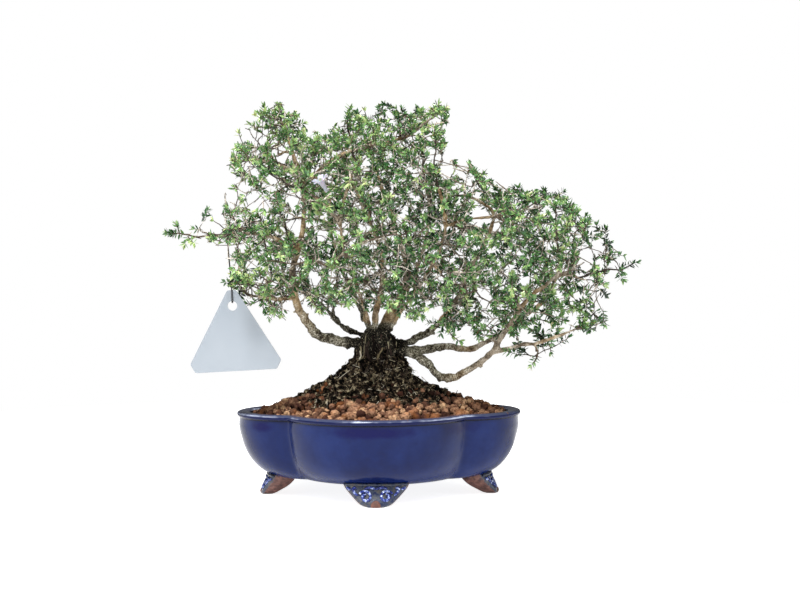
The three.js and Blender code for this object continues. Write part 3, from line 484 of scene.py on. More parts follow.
def baked_clay_grains():
    """Sieved akadama: dry baked clay, orange to dark brown from grain to grain, pitted and
    dusty."""
    material, shader, add = new_material("baked_clay_grains")
    place = add("TexCoord", "Object")
    tone = add("Attribute", "Fac", {"attribute_name": "tone"})
    dust = add("TexNoise", Vector=place, Scale=scale_of(1.6), Detail=5, Roughness=0.6)
    iron = add("TexNoise", Vector=place, Scale=scale_of(11), Detail=2, Roughness=0.6)
    pits = add("TexNoise", Vector=place, Scale=scale_of(1.3), Detail=4, Roughness=0.6)
    colour = add("ValToRGB", Fac=tone, stops=[(0.0, "#0C0705"), (0.2, "#4A2E25"), (0.5, "#8B6650"),
                                              (0.8, "#B98E6E"), (1.0, "#DAB28A")])
    dusty = add("ValToRGB", Fac=dust, stops=[(0.38, 0.75), (0.56, 0.0)])
    colour = add("Mix", 2, RGB, _0=dusty, _6=colour, _7="#33201A")
    rusty = add("ValToRGB", Fac=iron, stops=[(0.54, 0.0), (0.66, 0.34)])
    colour = add("Mix", 2, RGB, _0=rusty, _6=colour, _7="#AC6C3A")
    bump = add("Bump", Height=pits, Distance=0.9 * MM, Strength=1.0)
    set_sockets(shader, Base_Color=colour, Roughness=0.95, IOR=1.2, Normal=bump)
    return material


def root_mass():
    """Old roots, humus and moss in noise patches: painted nearly black as painted shade in the
    hollows, and brown and mossy as painted light where light falls.
    """
    material, shader, add = new_material("mossy_root_mass")
    place = add("TexCoord", "Object")
    cloud = add("TexNoise", Vector=place, Scale=scale_of(3.6), Detail=6, Roughness=0.72)
    crumb = add("TexNoise", Vector=place, Scale=scale_of(1.2), Detail=5, Roughness=0.6)
    # painted shade and light: the black stops stand for the hollows' shade, the pale ones for lit
    # tops
    colour = add("ValToRGB", Fac=cloud,
                 stops=[(0.44, "#010100"), (0.5, "#140F0B"), (0.57, "#605241"), (0.64, "#C4B898")])
    bump = add("Bump", Height=crumb, Distance=1.0 * MM, Strength=1.0)
    set_sockets(shader, Base_Color=colour, Roughness=0.95, IOR=1.15, Normal=bump)
    return material


def root_fibres():
    """Fine dead roots and moss threads, each of one tone from black-brown to straw and moss."""
    material, shader, add = new_material("root_fibres_and_moss")
    tone = add("Attribute", "Fac", {"attribute_name": "tone"})
    colour = add("ValToRGB", Fac=tone, stops=[(0.0, "#060403"), (0.4, "#423630"),
                                              (0.65, "#7A6E55"), (0.85, "#B0A68A"),
                                              (1.0, "#F0E8D4")])
    set_sockets(shader, Base_Color=colour, Roughness=0.85, IOR=1.2)
    return material


def bark():
    """Thin finely cracked bark: tan and smooth where young, mottled grey-green on the old low
    limbs, and mossy on the stump, painted nearly black there as painted shade, with pale flecks as
    painted highlights."""
    material, shader, add = new_material("serissa_bark")
    place = add("TexCoord", "Object")
    age = add("Attribute", "Fac", {"attribute_name": "age"})
    cloud = add("TexNoise", Vector=place, Scale=scale_of(6), Detail=6, Roughness=0.65)
    fine = add("TexNoise", Vector=place, Scale=scale_of(1.1), Detail=5, Roughness=0.7)
    patch = add("TexNoise", Vector=place, Scale=scale_of(38), Detail=2, Roughness=0.6)
    pale = add("ValToRGB", Fac=cloud,
               stops=[(0.36, "#4A3F33"), (0.5, "#968875"), (0.66, "#D8CCBC")])
    warm = add("ValToRGB", Fac=cloud,
               stops=[(0.36, "#644F38"), (0.5, "#AD926D"), (0.66, "#DCC8A8")])
    patched = add("ValToRGB", Fac=patch, stops=[(0.42, 0.0), (0.58, 1.0)])
    young = add("Mix", 2, RGB, _0=patched, _6=pale, _7=warm)
    flaky = add("Mix", 2, RGB, _0=0.35, _6=fine, _7=cloud)
    old = add("ValToRGB", Fac=flaky,
              stops=[(0.42, "#12100B"), (0.47, "#5A5445"), (0.53, "#A29B87"), (0.61, "#DEDACB")])
    # painted shade and highlights on the stump: moss patches drawn nearly black, with pale flecks
    # standing in for glints
    moss_shade_and_glints = add("ValToRGB", Fac=fine,
               stops=[(0.47, "#010101"), (0.54, "#0E0C08"), (0.6, "#6A6250"), (0.66, "#DCD4BC")])
    aged = add("Math", settings=TIMES_PLUS, _0=cloud, _1=0.5, _2=age)
    greyed = add("MapRange", Value=aged, From_Min=0.42, From_Max=0.72)
    moss_and_shade_share = add("MapRange", Value=aged, From_Min=0.92, From_Max=1.2)
    colour = add("Mix", 2, RGB, _0=greyed, _6=young, _7=old)
    colour = add("Mix", 2, RGB, _0=moss_and_shade_share, _6=colour, _7=moss_shade_and_glints)
    cracks = add("ValToRGB", Fac=fine, stops=[(0.38, 0.8), (0.46, 0.0)])
    colour = add("Mix", 2, RGB, _0=cracks, _6=colour, _7="#2A241A")
    bump = add("Bump", Height=fine, Distance=0.7 * MM, Strength=1.0)
    set_sockets(shader, Base_Color=colour, Roughness=0.85, IOR=1.3, Normal=bump)
    return material


def twig_bark():
    """Young bark on the fine twigs: smooth, pale tan, each twig a little lighter or darker, and
    those that the leaves would shade painted dark brown as painted shade.
    """
    material, shader, add = new_material("twig_bark")
    place = add("TexCoord", "Object")
    tone = add("Attribute", "Fac", {"attribute_name": "tone"})
    fine = add("TexNoise", Vector=place, Scale=scale_of(1.1), Detail=3, Roughness=0.6)
    colour = add("ValToRGB", Fac=tone,
                 stops=[(0.0, "#2C2119"), (0.35, "#7A6957"), (0.6, "#D0C1AE"), (1.0, "#FAF1E4")])
    flecks = add("ValToRGB", Fac=fine, stops=[(0.38, 0.7), (0.54, 0.0)])
    colour = add("Mix", 2, RGB, _0=flecks, _6=colour, _7="#4A4032")
    set_sockets(shader, Base_Color=colour, Roughness=0.8)
    return material


def leaf():
    """Small leathery leaves: deep green with a waxy sheen, lighter along the midrib, and
    yellow-green where young; their tone is painted lighter at the crown's skin and top as painted
    light and darker within as painted shade, and the palest greens are partly painted glints."""
    material, shader, add = new_material("serissa_leaf")
    place = add("TexCoord", "Object")
    tone = add("Attribute", "Fac", {"attribute_name": "tone"})
    rib = add("Attribute", "Fac", {"attribute_name": "rib"})
    mottle = add("TexNoise", Vector=place, Scale=scale_of(2.5), Detail=2, Roughness=0.6)
    # painted light and shade come in on tone: lighter at the crown's skin and top, darker within;
    # the palest stops are partly painted glints
    colour = add("ValToRGB", Fac=tone, stops=[(0.0, "#0C2A12"), (0.25, "#386837"),
                                              (0.5, "#6E9C5C"), (0.75, "#A6C97C"),
                                              (1.0, "#DDEBA8")])
    ribbed = add("ValToRGB", Fac=rib, stops=[(0.6, 0.0), (1.0, 0.3)])
    colour = add("Mix", 2, RGB, _0=ribbed, _6=colour, _7="#B4CF82")
    mottled = add("ValToRGB", Fac=mottle, stops=[(0.4, 0.3), (0.6, 0.0)])
    colour = add("Mix", 2, RGB, _0=mottled, _6=colour, _7="#1C4020")
    set_sockets(shader, Base_Color=colour, Roughness=0.24, IOR=1.6, Subsurface_Weight=0.08,
                Subsurface_Scale=0.6 * MM)
    return material


def petal():
    """A thin matt petal, white with a breath of lilac and faint veins that run down the throat."""
    material, shader, add = new_material("serissa_petal")
    place = add("TexCoord", "Object")
    veins = add("TexNoise", Vector=place, Scale=scale_of(1.2), Detail=2, Roughness=0.6)
    colour = add("ValToRGB", Fac=veins, stops=[(0.35, "#C9C6DA"), (0.6, "#DEDCEA")])
    set_sockets(shader, Base_Color=colour, Roughness=0.55, Subsurface_Weight=0.2,
                Subsurface_Scale=0.8 * MM)
    return material


def label_plastic():
    """Rigid PVC sheet, cut and lightly satined: pale cool grey with a fine grain."""
    material, shader, add = new_material("satin_pvc_sheet")
    place = add("TexCoord", "Object")
    grain = add("TexNoise", Vector=place, Scale=scale_of(0.8), Detail=2, Roughness=0.6)
    cloud = add("TexNoise", Vector=place, Scale=scale_of(25), Detail=2, Roughness=0.6)
    colour = add("Mix", 2, RGB, _0=cloud, _6="#98A0A9", _7="#A4ABB2")
    rough = add("ValToRGB", Fac=grain, stops=[(0.3, 0.32), (0.7, 0.45)])
    bump = add("Bump", Height=grain, Distance=0.05 * MM, Strength=0.3)
    set_sockets(shader, Base_Color=colour, Roughness=rough, Normal=bump)
    return material


def annealed_wire():
    """Black annealed iron wire: dark oxide skin with small brighter rubs."""
    material, shader, add = new_material("annealed_wire")
    place = add("TexCoord", "Object")
    rub = add("TexNoise", Vector=place, Scale=scale_of(2.5), Detail=3, Roughness=0.6)
    colour = add("ValToRGB", Fac=rub, stops=[(0.4, "#232222"), (0.7, "#4B4846")])
    set_sockets(shader, Base_Color=colour, Metallic=0.8, Roughness=0.5)
    return material


def drain_plastic():
    """Moulded black polyethylene mesh, dulled by soil."""
    material, shader, add = new_material("drain_mesh_plastic")
    place = add("TexCoord", "Object")
    dirt = add("TexNoise", Vector=place, Scale=scale_of(4), Detail=4, Roughness=0.6)
    colour = add("ValToRGB", Fac=dirt, stops=[(0.4, "#18181A"), (0.7, "#3A312B")])
    set_sockets(shader, Base_Color=colour, Roughness=0.6)
    return material


def studio_floor():
    """Matt white studio paper, lit from below as on a light table."""
    material, shader, add = new_material("white_studio_paper")
    place = add("TexCoord", "Object")
    tooth = add("TexNoise", Vector=place, Scale=scale_of(1.5), Detail=2, Roughness=0.6)
    colour = add("ValToRGB", Fac=tooth, stops=[(0.3, "#F7F7F7"), (0.7, "#FCFCFC")])
    seen = add("LightPath", "Is Camera Ray")
    glow = add("MapRange", Value=seen, To_Min=TABLE_GLOW, To_Max=TABLE_BRIGHTNESS)
    set_sockets(shader, Base_Color=colour, Roughness=0.9, Emission_Color=WHITE,
                Emission_Strength=glow)
    return material


GLAZE = glazed_stoneware()
FOOT_GLAZE = foot_glaze()
SCROLL_GLAZE = carved_glaze()
CLAY = bare_stoneware()
GRAINS_FINISH = baked_clay_grains()
ROOTS = root_mass()
FIBRES = root_fibres()
BARK = bark()
TWIG = twig_bark()
LEAF = leaf()
PETAL = petal()
LABEL = label_plastic()
WIRE = annealed_wire()


# ------------------------------------------------ camera, floor and light
def make_camera():
    right = Vector((math.cos(CAMERA_TURN), math.sin(CAMERA_TURN), 0))
    level = Vector((-math.sin(CAMERA_TURN), math.cos(CAMERA_TURN), 0))
    ahead = level * math.cos(CAMERA_DIP) - Vector((0, 0, math.sin(CAMERA_DIP)))
    up = right.cross(ahead)
    tilted = right * math.cos(CAMERA_ROLL) - up * math.sin(CAMERA_ROLL)
    data = bpy.data.cameras.new("camera")
    data.sensor_width = 36
    data.lens = data.sensor_width * FOCAL_PIXELS / IMAGE_WIDTH
    camera = in_scene("camera", data)
    camera.matrix_world = (Matrix.Translation(PLACE @ CAMERA_PLACE)
                           @ along_axes(tilted, tilted.cross(ahead), -ahead))
    bpy.context.scene.camera = camera


def make_floor():
    bm = bmesh.new()
    bmesh.ops.create_circle(bm, cap_ends=True, radius=TABLE_RADIUS, segments=128)
    mesh = mesh_of(bm, "floor")
    mesh.materials.append(studio_floor())
    in_scene("floor", mesh)


def add_softbox(name, place, size, power):
    data = bpy.data.lights.new(name, "AREA")
    data.shape = "RECTANGLE"
    data.size, data.size_y = size
    data.energy = power
    turn = (LIGHT_AIM - Vector(place)).to_track_quat("-Z", "Y").to_matrix().to_4x4()
    in_scene(name, data).matrix_world = Matrix.Translation(place) @ turn


def make_light():
    """Soft light from above and in front; the room is white to the eye and dimmer as a light."""
    world = bpy.data.worlds.new("white_room")
    world.use_nodes = True
    seen = add_node(world.node_tree, "LightPath", "Is Camera Ray")
    strength = add_node(world.node_tree, "MapRange", Value=seen, To_Min=ROOM_LIGHT, To_Max=1.0)
    set_sockets(world.node_tree.nodes["Background"], Color=WHITE, Strength=strength)
    bpy.context.scene.world = world
    sun = bpy.data.lights.new("soft_daylight", "SUN")
    sun.angle = SUN_WIDTH
    sun.energy = SUN_POWER
    turn = SUN_HEADING.to_track_quat("-Z", "Y").to_matrix().to_4x4()
    in_scene("soft_daylight", sun).matrix_world = turn
    add_softbox("left_softbox", (-0.9, -1.0, 0.7), (0.25, 0.9), 4)
    add_softbox("right_softbox", (1.1, -0.8, 0.6), (0.2, 0.8), 3)
    add_softbox("top_softbox", (0.1, -0.9, 1.1), (1.3, 0.5), 6)
    bpy.context.scene.view_settings.view_transform = "Standard"


# ------------------------------------------------ pot
def lobed_outline(fall, inset, z, steps):
    """The outline of the four-lobed bowl, where each half lobe is an arc of steps points."""
    length, depth, crease_x, crease_y = (mix(RIM[k], BASE[k], fall) for k in RIM)
    squares = crease_x ** 2 + crease_y ** 2
    front = (depth ** 2 - squares) / (2 * (depth - crease_y))
    end = (length ** 2 - squares) / (2 * (length - crease_x))
    front_radius = depth - front - inset
    end_radius = length - end - inset
    apart = math.hypot(end, front)
    along = (front_radius ** 2 - end_radius ** 2 + apart ** 2) / (2 * apart)
    across = math.sqrt(front_radius ** 2 - along ** 2)
    meet_x = (along * end + across * front) / apart
    meet_y = -front + (along * front - across * end) / apart
    front_sweep = math.atan2(meet_x, -meet_y - front)
    end_sweep = math.atan2(-meet_y, meet_x - end)
    quarter = []
    for i in range(steps + 1):
        angle = front_sweep * i / steps
        quarter.append((front_radius * math.sin(angle), -front - front_radius * math.cos(angle)))
    for i in range(1, steps + 1):
        angle = end_sweep * (1 - i / steps)
        quarter.append((end + end_radius * math.cos(angle), -end_radius * math.sin(angle)))
    half = quarter + [(x, -y) for x, y in quarter[-2::-1]]
    around = half + [(-x, y) for x, y in half[-2:0:-1]]
    return [Vector((x, y, z)) for x, y in around]


def outline_loop(bm, points):
    verts = [bm.verts.new(p) for p in points]
    return [bm.edges.new((a, b)) for a, b in zip(verts, verts[1:] + verts[:1])]


def walled(outlines):
    """A closed body whose wall runs through the outlines in turn."""
    bm = bmesh.new()
    loops = [outline_loop(bm, points) for points in outlines]
    for low, high in zip(loops, loops[1:]):
        bmesh.ops.bridge_loops(bm, edges=low + high)
    for loop in (loops[0], loops[-1]):
        bmesh.ops.contextual_create(bm, geom=loop)
    face_outwards(bm)
    return bm


LIP = [
    # (inset, depth below the rim) of the rolled lip, up the outside and down the inside
    (1.3, 4.5), (1.2, 4.1), (0.6, 3.8), (0, 3.3), (-0.3, 2.5), (-0.25, 1.6), (0.15, 0.8),
    (0.9, 0.3), (1.8, 0.05), (2.8, 0), (6.8, 0.1), (8.1, 0.4), (8.8, 1), (LIP_WIDTH, 1.6),
]
INNER_WALL = [(59, 0), (50, 0), (35, 0.09), (24, 0.31), (FLOOR_TOP, 0.62)]
POT_STEPS = 14
BELLY_LEVELS = 12
FLARE = 1.0  # how far the wall leans out under the lip
FLARE_HEIGHT = 10
# The four upright creases between the lobes: their least angle, how upright their edges are, how
# far from the middle they stand, and how widely they are eased.
CREASE_ANGLE = math.radians(14)
CREASE_UPRIGHT = 0.7
CREASE_X = 55
CREASE_REACH = 14
CREASE_EASE = 2.2
BORE_DEPTH = 12


def is_crease(edge):
    low, high = (v.co for v in edge.verts)
    return (edge.is_manifold and not edge.is_boundary and edge.calc_face_angle(0) > CREASE_ANGLE
            and abs(low.z - high.z) > CREASE_UPRIGHT * (low - high).length
            and abs(abs(low.x) - CREASE_X) < CREASE_REACH)


def make_pot():
    outlines = []
    for i in range(BELLY_LEVELS + 1):
        angle = math.pi / 2 * i / BELLY_LEVELS
        z = BELLY_TOP - (BELLY_TOP - BELLY_BOTTOM) * math.cos(angle)
        inset = WALL_INSET - FLARE * max(0, (z - BELLY_TOP + FLARE_HEIGHT) / FLARE_HEIGHT)
        outlines.append(lobed_outline(1 - math.sin(angle), inset, z, POT_STEPS))
    outlines += [lobed_outline(0, inset, POT_HEIGHT - depth, POT_STEPS) for inset, depth in LIP]
    outlines += [lobed_outline(fall, INNER_INSET, z, POT_STEPS) for z, fall in INNER_WALL]
    bm = walled(outlines)
    bmesh.ops.bevel(bm, geom=[e for e in bm.edges if is_crease(e)], offset=CREASE_EASE, segments=3,
                    profile=0.5, affect="EDGES", material=-1)
    bores = bmesh.new()
    for x in (-DRAIN_X, DRAIN_X):
        bmesh.ops.create_cone(bores, cap_ends=True, segments=32, radius1=DRAIN_RADIUS,
                              radius2=DRAIN_RADIUS, depth=BORE_DEPTH,
                              matrix=Matrix.Translation((x, 0, (BELLY_BOTTOM + FLOOR_TOP) / 2)))
    cutter = in_scene("cutter", template_of(bores, "bores"))
    mesh = modified(mesh_of(bm, "pot"), "BOOLEAN", object=cutter, operation="DIFFERENCE",
                    solver="EXACT")
    bpy.data.objects.remove(cutter)
    seated("pot_body", mesh, GLAZE, ["pot"])


FOOT_LEVELS = [
    # (z, half width, outer face, inner face), the faces measured from the foot's reach
    (0, 6, 4, -3.5), (1.4, 10, 4.8, -6), (3.4, 12.8, 4.4, -8.8), (8, 17.6, 2.2, -14.5),
    (13, 22, 0.6, -17.5), (16.5, 23.6, -0.6, -17.5),
]
FEET = [(65, 66, 0), (65, 66, math.pi), (83, 40, math.pi / 2), (83, 40, -math.pi / 2)]
FOOT_FINENESS = 4
FOOT_CURVE = np.array(smooth_path(FOOT_LEVELS, FOOT_FINENESS)).T
FOOT_STATIONS = 20
FOOT_EDGE = 0.8  # from this share of the half width the face turns to the foot's side
FOOT_EDGE_DEPTH = 2.2
# How much of the glaze is worn off the back, the side rims and the sole.
WORN_BACK, WORN_RIM, WORN_SOLE = 1.7, 0.35, 0.3
RIM_START = 0.86
SOLE_HEIGHT = 1.5


def on_foot(reach, lobe_radius, u, z, lift=0.0):
    """A point on a foot's outer face, lift proud of it."""
    outer = np.interp(z, FOOT_CURVE[0], FOOT_CURVE[2])
    return Vector((u, -(reach + outer + lift - u * u / (2 * lobe_radius)), z))


def make_foot_body(reach, lobe_radius):
    """A foot, worn from none on its glazed outer face to 1 on its inner one."""
    outlines = []
    for z, half_width, outer, inner in FOOT_CURVE.T:
        ring = []
        for face, way in ((outer, 1), (inner, -1)):
            for k in range(FOOT_STATIONS + 1):
                share = way * (2 * k / FOOT_STATIONS - 1)
                u = share * half_width
                edge = max(0, abs(share) - FOOT_EDGE) / (1 - FOOT_EDGE)
                depth = reach + face - way * FOOT_EDGE_DEPTH * edge ** 2 - u * u / (2 * lobe_radius)
                ring.append(Vector((u, -depth, max(z, 0))))
        outlines.append(ring)
    bm = walled(outlines)
    worn = bm.verts.layers.float.new("worn")
    for v in bm.verts:
        half_width, outer, inner = (np.interp(v.co.z, FOOT_CURVE[0], row) for row in FOOT_CURVE[1:])
        back = (reach + outer - v.co.x ** 2 / (2 * lobe_radius) + v.co.y) / (outer - inner)
        rim = max(0, abs(v.co.x) / half_width - RIM_START) / (1 - RIM_START)
        sole = max(0, 1 - v.co.z / SOLE_HEIGHT)
        v[worn] = min(1, WORN_BACK * back + WORN_RIM * rim + WORN_SOLE * sole)
    return bm


SCROLL_EYE = (7.2, 7.4)
SCROLL_RADII = (1.2, 4.6)
SCROLL_START = 95  # degrees
SCROLL_SWEEP = 430
SCROLL_POINTS = 36
SCROLL_SQUASH = 0.92


def scroll_path(reach, lobe_radius, hand):
    """A C-scroll: a spiral eye that runs out along the foot's lower edge."""
    path = []
    for k in range(SCROLL_POINTS):
        share = k / (SCROLL_POINTS - 1)
        angle = math.radians(SCROLL_START - SCROLL_SWEEP * share)
        radius = mix(*SCROLL_RADII, share)
        u = SCROLL_EYE[0] + radius * math.cos(angle)
        z = SCROLL_EYE[1] + SCROLL_SQUASH * radius * math.sin(angle)
        path.append(on_foot(reach, lobe_radius, hand * u, z, 0.2))
    return path


def leaf_path(reach, lobe_radius, hand, points):
    """A small carved leaf through points on the foot's face."""
    path = smooth_path([(u, z, 0) for u, z in points], 4)
    return [on_foot(reach, lobe_radius, hand * u, z, 0.15) for u, z, _ in path]


CARVED_LEAVES = [
    # (across, up) on the foot's face
    [(12.6, 8), (14.6, 9.6), (16, 12), (15, 13.4), (13.6, 12.6)],
    [(17.6, 12.2), (19.4, 12.6), (20.6, 13.6)],
    [(0.2, 12.6), (2.6, 13.4), (5.4, 13.5), (8, 12.9)],
]
CARVED_LEAF_RADII = (0.35, 0.75)  # at its ends, and what its middle adds
TAB_HALF_WIDTH = 3.6
TAB_HEIGHT = 5
TAB_MIDDLE = 0.6
TAB_BULGE = 1.2
LEDGE_Z = 15.4
LEDGE_HALF_WIDTH = 22.5
LEDGE_RADIUS = 0.9


def make_feet():
    bodies, scrolls, tabs = bmesh.new(), bmesh.new(), bmesh.new()
    for reach, lobe_radius, turn in FEET:
        spin = Matrix.Rotation(turn, 4, "Z")
        body = make_foot_body(reach, lobe_radius)
        carving = bmesh.new()
        for hand in (1, -1):
            path = scroll_path(reach, lobe_radius, hand)
            sweep(carving, path, np.linspace(1.25, 0.95, len(path)), 8)
            for points in CARVED_LEAVES:
                path = leaf_path(reach, lobe_radius, hand, points)
                thin, thick = CARVED_LEAF_RADII
                sweep(carving, path, [thin + thick * math.sin(math.pi * (k + 1) / (len(path) + 1))
                                      for k in range(len(path))], 8)
        ledge = [on_foot(reach, lobe_radius, u, LEDGE_Z, 0.1)
                 for u in np.linspace(-LEDGE_HALF_WIDTH, LEDGE_HALF_WIDTH, 24)]
        sweep(body, ledge, [LEDGE_RADIUS] * len(ledge), 8)
        tab = bmesh.new()
        bmesh.ops.create_icosphere(tab, subdivisions=3, radius=1)
        for v in tab.verts:
            z = max(0.05, TAB_MIDDLE + (TAB_HEIGHT - TAB_MIDDLE) * v.co.z)
            v.co = on_foot(reach, lobe_radius, TAB_HALF_WIDTH * v.co.x, z, TAB_BULGE * v.co.y)
        for piece, whole in ((body, bodies), (carving, scrolls), (tab, tabs)):
            face_outwards(piece)
            move_all(piece, spin)
            whole.from_mesh(mesh_of(piece, "part_of_feet"))
    seated("feet", bodies, FOOT_GLAZE)
    seated("foot_scrolls", scrolls, SCROLL_GLAZE)
    seated("foot_tabs", tabs, CLAY)


# ------------------------------------------------ soil and mound
SOIL_TOP = [
    # (share of the way out to the wall, z)
    (1, 56.4), (0.965, 57.8), (0.9, 60.4), (0.8, 63.8), (0.72, 66.8), (0.5, 70), (0, 72),
]
SOIL_AIR = 0.8
SOIL_STEPS = 10
SOIL_SHARES = (1, 0.965, 0.93, 0.9, 0.86, 0.8, 0.72, 0.6, 0.4, 0.2)
SOIL_BED_DEPTH = 3.5  # of the packed soil below the loose grains
# painted shade: the packed soil under the grains is drawn almost black, as the shade in the gaps
# between them
BED_SHADE_TONE = 0.02
BED_LUMPS = 1.6
GRAIN_COUNT = 1900
SUNK_SHARE = 0.4  # of the grains, in a darker layer below the others
SUNK_DEPTH = 2.6


def soil_height(share):
    shares, heights = zip(*SOIL_TOP[::-1])
    return float(np.interp(share, shares, heights))


def soil_outline(share, z, steps):
    outline = lobed_outline(0, INNER_INSET + SOIL_AIR, z, steps)
    return [Vector((share * p.x, share * p.y, z)) for p in outline]


def make_soil():
    outlines = [lobed_outline(fall, INNER_INSET + SOIL_AIR, z + (GAP if z == FLOOR_TOP else 0),
                              SOIL_STEPS) for z, fall in INNER_WALL[:1:-1]]
    outlines += [soil_outline(share, soil_height(share) - SOIL_BED_DEPTH * (share < 1), SOIL_STEPS)
                 for share in SOIL_SHARES]
    bm = walled(outlines)
    give_tone(bm, BED_SHADE_TONE)
    for v in bm.verts:
        if v.co.z > 58:
            v.co.z += BED_LUMPS * noise.noise(v.co / 7)
    seated("soil_bed", bm, GRAINS_FINISH, ["soil"])


def grain_template(seed, least=0.74):
    """A rounded lump of two dozen faces, knocked out of round down to its least reach."""
    draw = seeded(seed)
    bm = bmesh.new()
    bmesh.ops.create_cube(bm, size=1.2)
    bmesh.ops.subdivide_edges(bm, edges=bm.edges[:], cuts=1, use_grid_fill=True)
    for v in bm.verts:
        v.co = v.co.normalized() * mix(least, 1.1, draw())
    return template_of(bm, "grain")


def make_grains():
    draw = seeded(4127)
    outline = soil_outline(1, 0, 24)

    def grain(k):
        share = math.sqrt(mix(0.3, 0.955, draw()))
        edge = outline[int(draw() * len(outline))]
        draw()  # one spare draw, which keeps the grains that follow where they are
        size = mix(1.3, 2.7, draw()) if draw() < 0.7 else mix(2.7, 4.6, draw())
        share = min(share, 1 - 1.25 * size / edge.length)
        sunk = SUNK_DEPTH if k < SUNK_SHARE * GRAIN_COUNT else 0
        centre = Vector((share * edge.x, share * edge.y, soil_height(share) + 0.3 * size - sunk))
        turn = tumbled(draw)
        width, height = size * mix(0.7, 1, draw()), size * mix(0.65, 0.9, draw())
        tone = mix(0.15, 0.75, draw()) if draw() < 0.8 else mix(0.75, 1, draw())
        # painted shade: the sunk grains are drawn darker, as the shade down between the grains
        # above
        tone *= 0.25 if sunk else 1
        return Matrix.Translation(centre) @ turn @ Matrix.Diagonal((size, width, height, 1)), tone

    templates = [grain_template(seed) for seed in (31, 57, 83)]
    seated("soil_grains", sown(templates, grain, GRAIN_COUNT), GRAINS_FINISH)


MOUND_PROFILE = [
    # (radius, z)
    (59, 68.3), (60, 70), (52, 75.5), (40, 82.5), (30, 89), (23.5, 95), (17, 101), (13, 108),
]
MOUND_CURVE = smooth_path([(r, z, 0) for r, z in MOUND_PROFILE], 6)
MOUND_SIDES = 72
MOUND_ROWS = 40
MOUND_INSET = 2.5  # of the skin within the solid's, which the lumps and fibres make up
MOUND_SWELL = 0.12
HOLLOW_Z = 86
HOLLOW_REACH = 12
FIBRE_COUNT = 1900
CRUMB_COUNT = 1300
STRAY_GRAINS = 220


def on_mound(share, angle):
    """A point on the mound's skin, share of the way up its profile, and the way it faces."""
    k = share * (len(MOUND_CURVE) - 1)
    low, high = MOUND_CURVE[int(k)], MOUND_CURVE[min(int(k) + 1, len(MOUND_CURVE) - 1)]
    radius, z = mix(low, high, k - int(k))[:2]
    radius -= MOUND_INSET
    level = max(0, 1 - abs(z - HOLLOW_Z) / HOLLOW_REACH)
    radius *= 1 - HOLLOW_FLANK * max(0, math.cos(angle)) * level
    around = Vector((2.2 * math.cos(angle), 2.2 * math.sin(angle), z / 16))
    swell = 1 + MOUND_SWELL * noise.noise(around)
    place = Vector((swell * radius * math.cos(angle),
                    MOUND_FLATTENING * swell * radius * math.sin(angle), z))
    fall = Vector((high - low)[:2]) if int(k) + 1 < len(MOUND_CURVE) else Vector((-1, 1.5))
    outward = Vector((math.cos(angle) * fall.y, math.sin(angle) * fall.y / MOUND_FLATTENING,
                      -fall.x))
    return place, outward.normalized()


def make_mound():
    bm = walled([[on_mound(0.999 * i / MOUND_ROWS, 2 * math.pi * k / MOUND_SIDES)[0]
                  for k in range(MOUND_SIDES)] for i in range(MOUND_ROWS + 1)])
    bm.normal_update()
    for v in bm.verts:
        if v.co.z > 69:
            lump = noise.fractal(v.co / 9, 1.0, 2.0, 4)
            v.co += v.normal * (2.6 * lump + 1.2 * noise.noise(v.co / 3))
    seated("mound_body", bm, ROOTS, ["mound"])


def fibre_template(seed, bends):
    """A thin crooked thread, one unit long, thickest in the middle."""
    draw = seeded(seed)
    path = [Vector((0, 0, 0))]
    for k in range(1, 6):
        path.append(Vector((k / 5, bends * (draw() - 0.5), 0.3 * bends * (draw() - 0.45))))
    bm = bmesh.new()
    sweep(bm, path, [0.008, 0.018, 0.02, 0.018, 0.014, 0.006], 3)
    return template_of(bm, "fibre")


def make_fibres():
    draw = seeded(2718)

    def fibre(_):
        share = draw() ** 1.1
        angle = 2 * math.pi * draw()
        place, outward = on_mound(0.97 * share, angle)
        downhill = Vector((0, 0, -1)) + outward * outward.z
        across = outward.cross(downhill).normalized()
        spread = mix(-1.4, 1.4, draw())
        heading = (downhill * math.cos(spread) + across * math.sin(spread)).normalized()
        lift = mix(-0.25, 0.05, draw()) if draw() < 0.96 else mix(0.1, 0.5, draw())
        heading = (heading + outward * lift).normalized()
        side = outward.cross(heading).normalized()
        length = mix(4, 15, draw() ** 2)
        mossy = noise.noise(place / 14) > -0.05
        tone = mix(0.45, 0.9, draw()) if mossy and draw() < 0.6 else mix(0, 0.5, draw())
        if draw() < 0.12:
            tone = mix(0.85, 1, draw())
        base = Matrix.Translation(place + outward * mix(-0.6, 1.4, draw()))
        turn = along_axes(heading, side, heading.cross(side))
        return base @ turn @ Matrix.Scale(length, 4), tone

    templates = [fibre_template(seed, bends) for seed, bends in ((5, 0.5), (9, 0.8), (14, 1.1))]
    seated("mound_fibres", sown(templates, fibre, FIBRE_COUNT), FIBRES)


def make_crumbs(name, count, top, material):
    """Crumbs of old soil held between the roots, up to the top share of the mound."""
    draw = seeded(3301 + count)
    rows = []
    for _ in range(count):
        place, outward = on_mound(top * draw(), 2 * math.pi * draw())
        size = mix(0.9, 4.2, draw() ** 2.5)
        tone = 0.3 * draw() if draw() < 0.7 else mix(0.25, 0.6, draw())
        turn = tumbled(draw)
        shape = Matrix.Diagonal((size, 0.8 * size, 0.7 * size, 1))
        rows.append((Matrix.Translation(place + outward * 0.3 * size) @ turn @ shape, tone))
    seated(name, copies(grain_template(101, 0.62), rows), material)


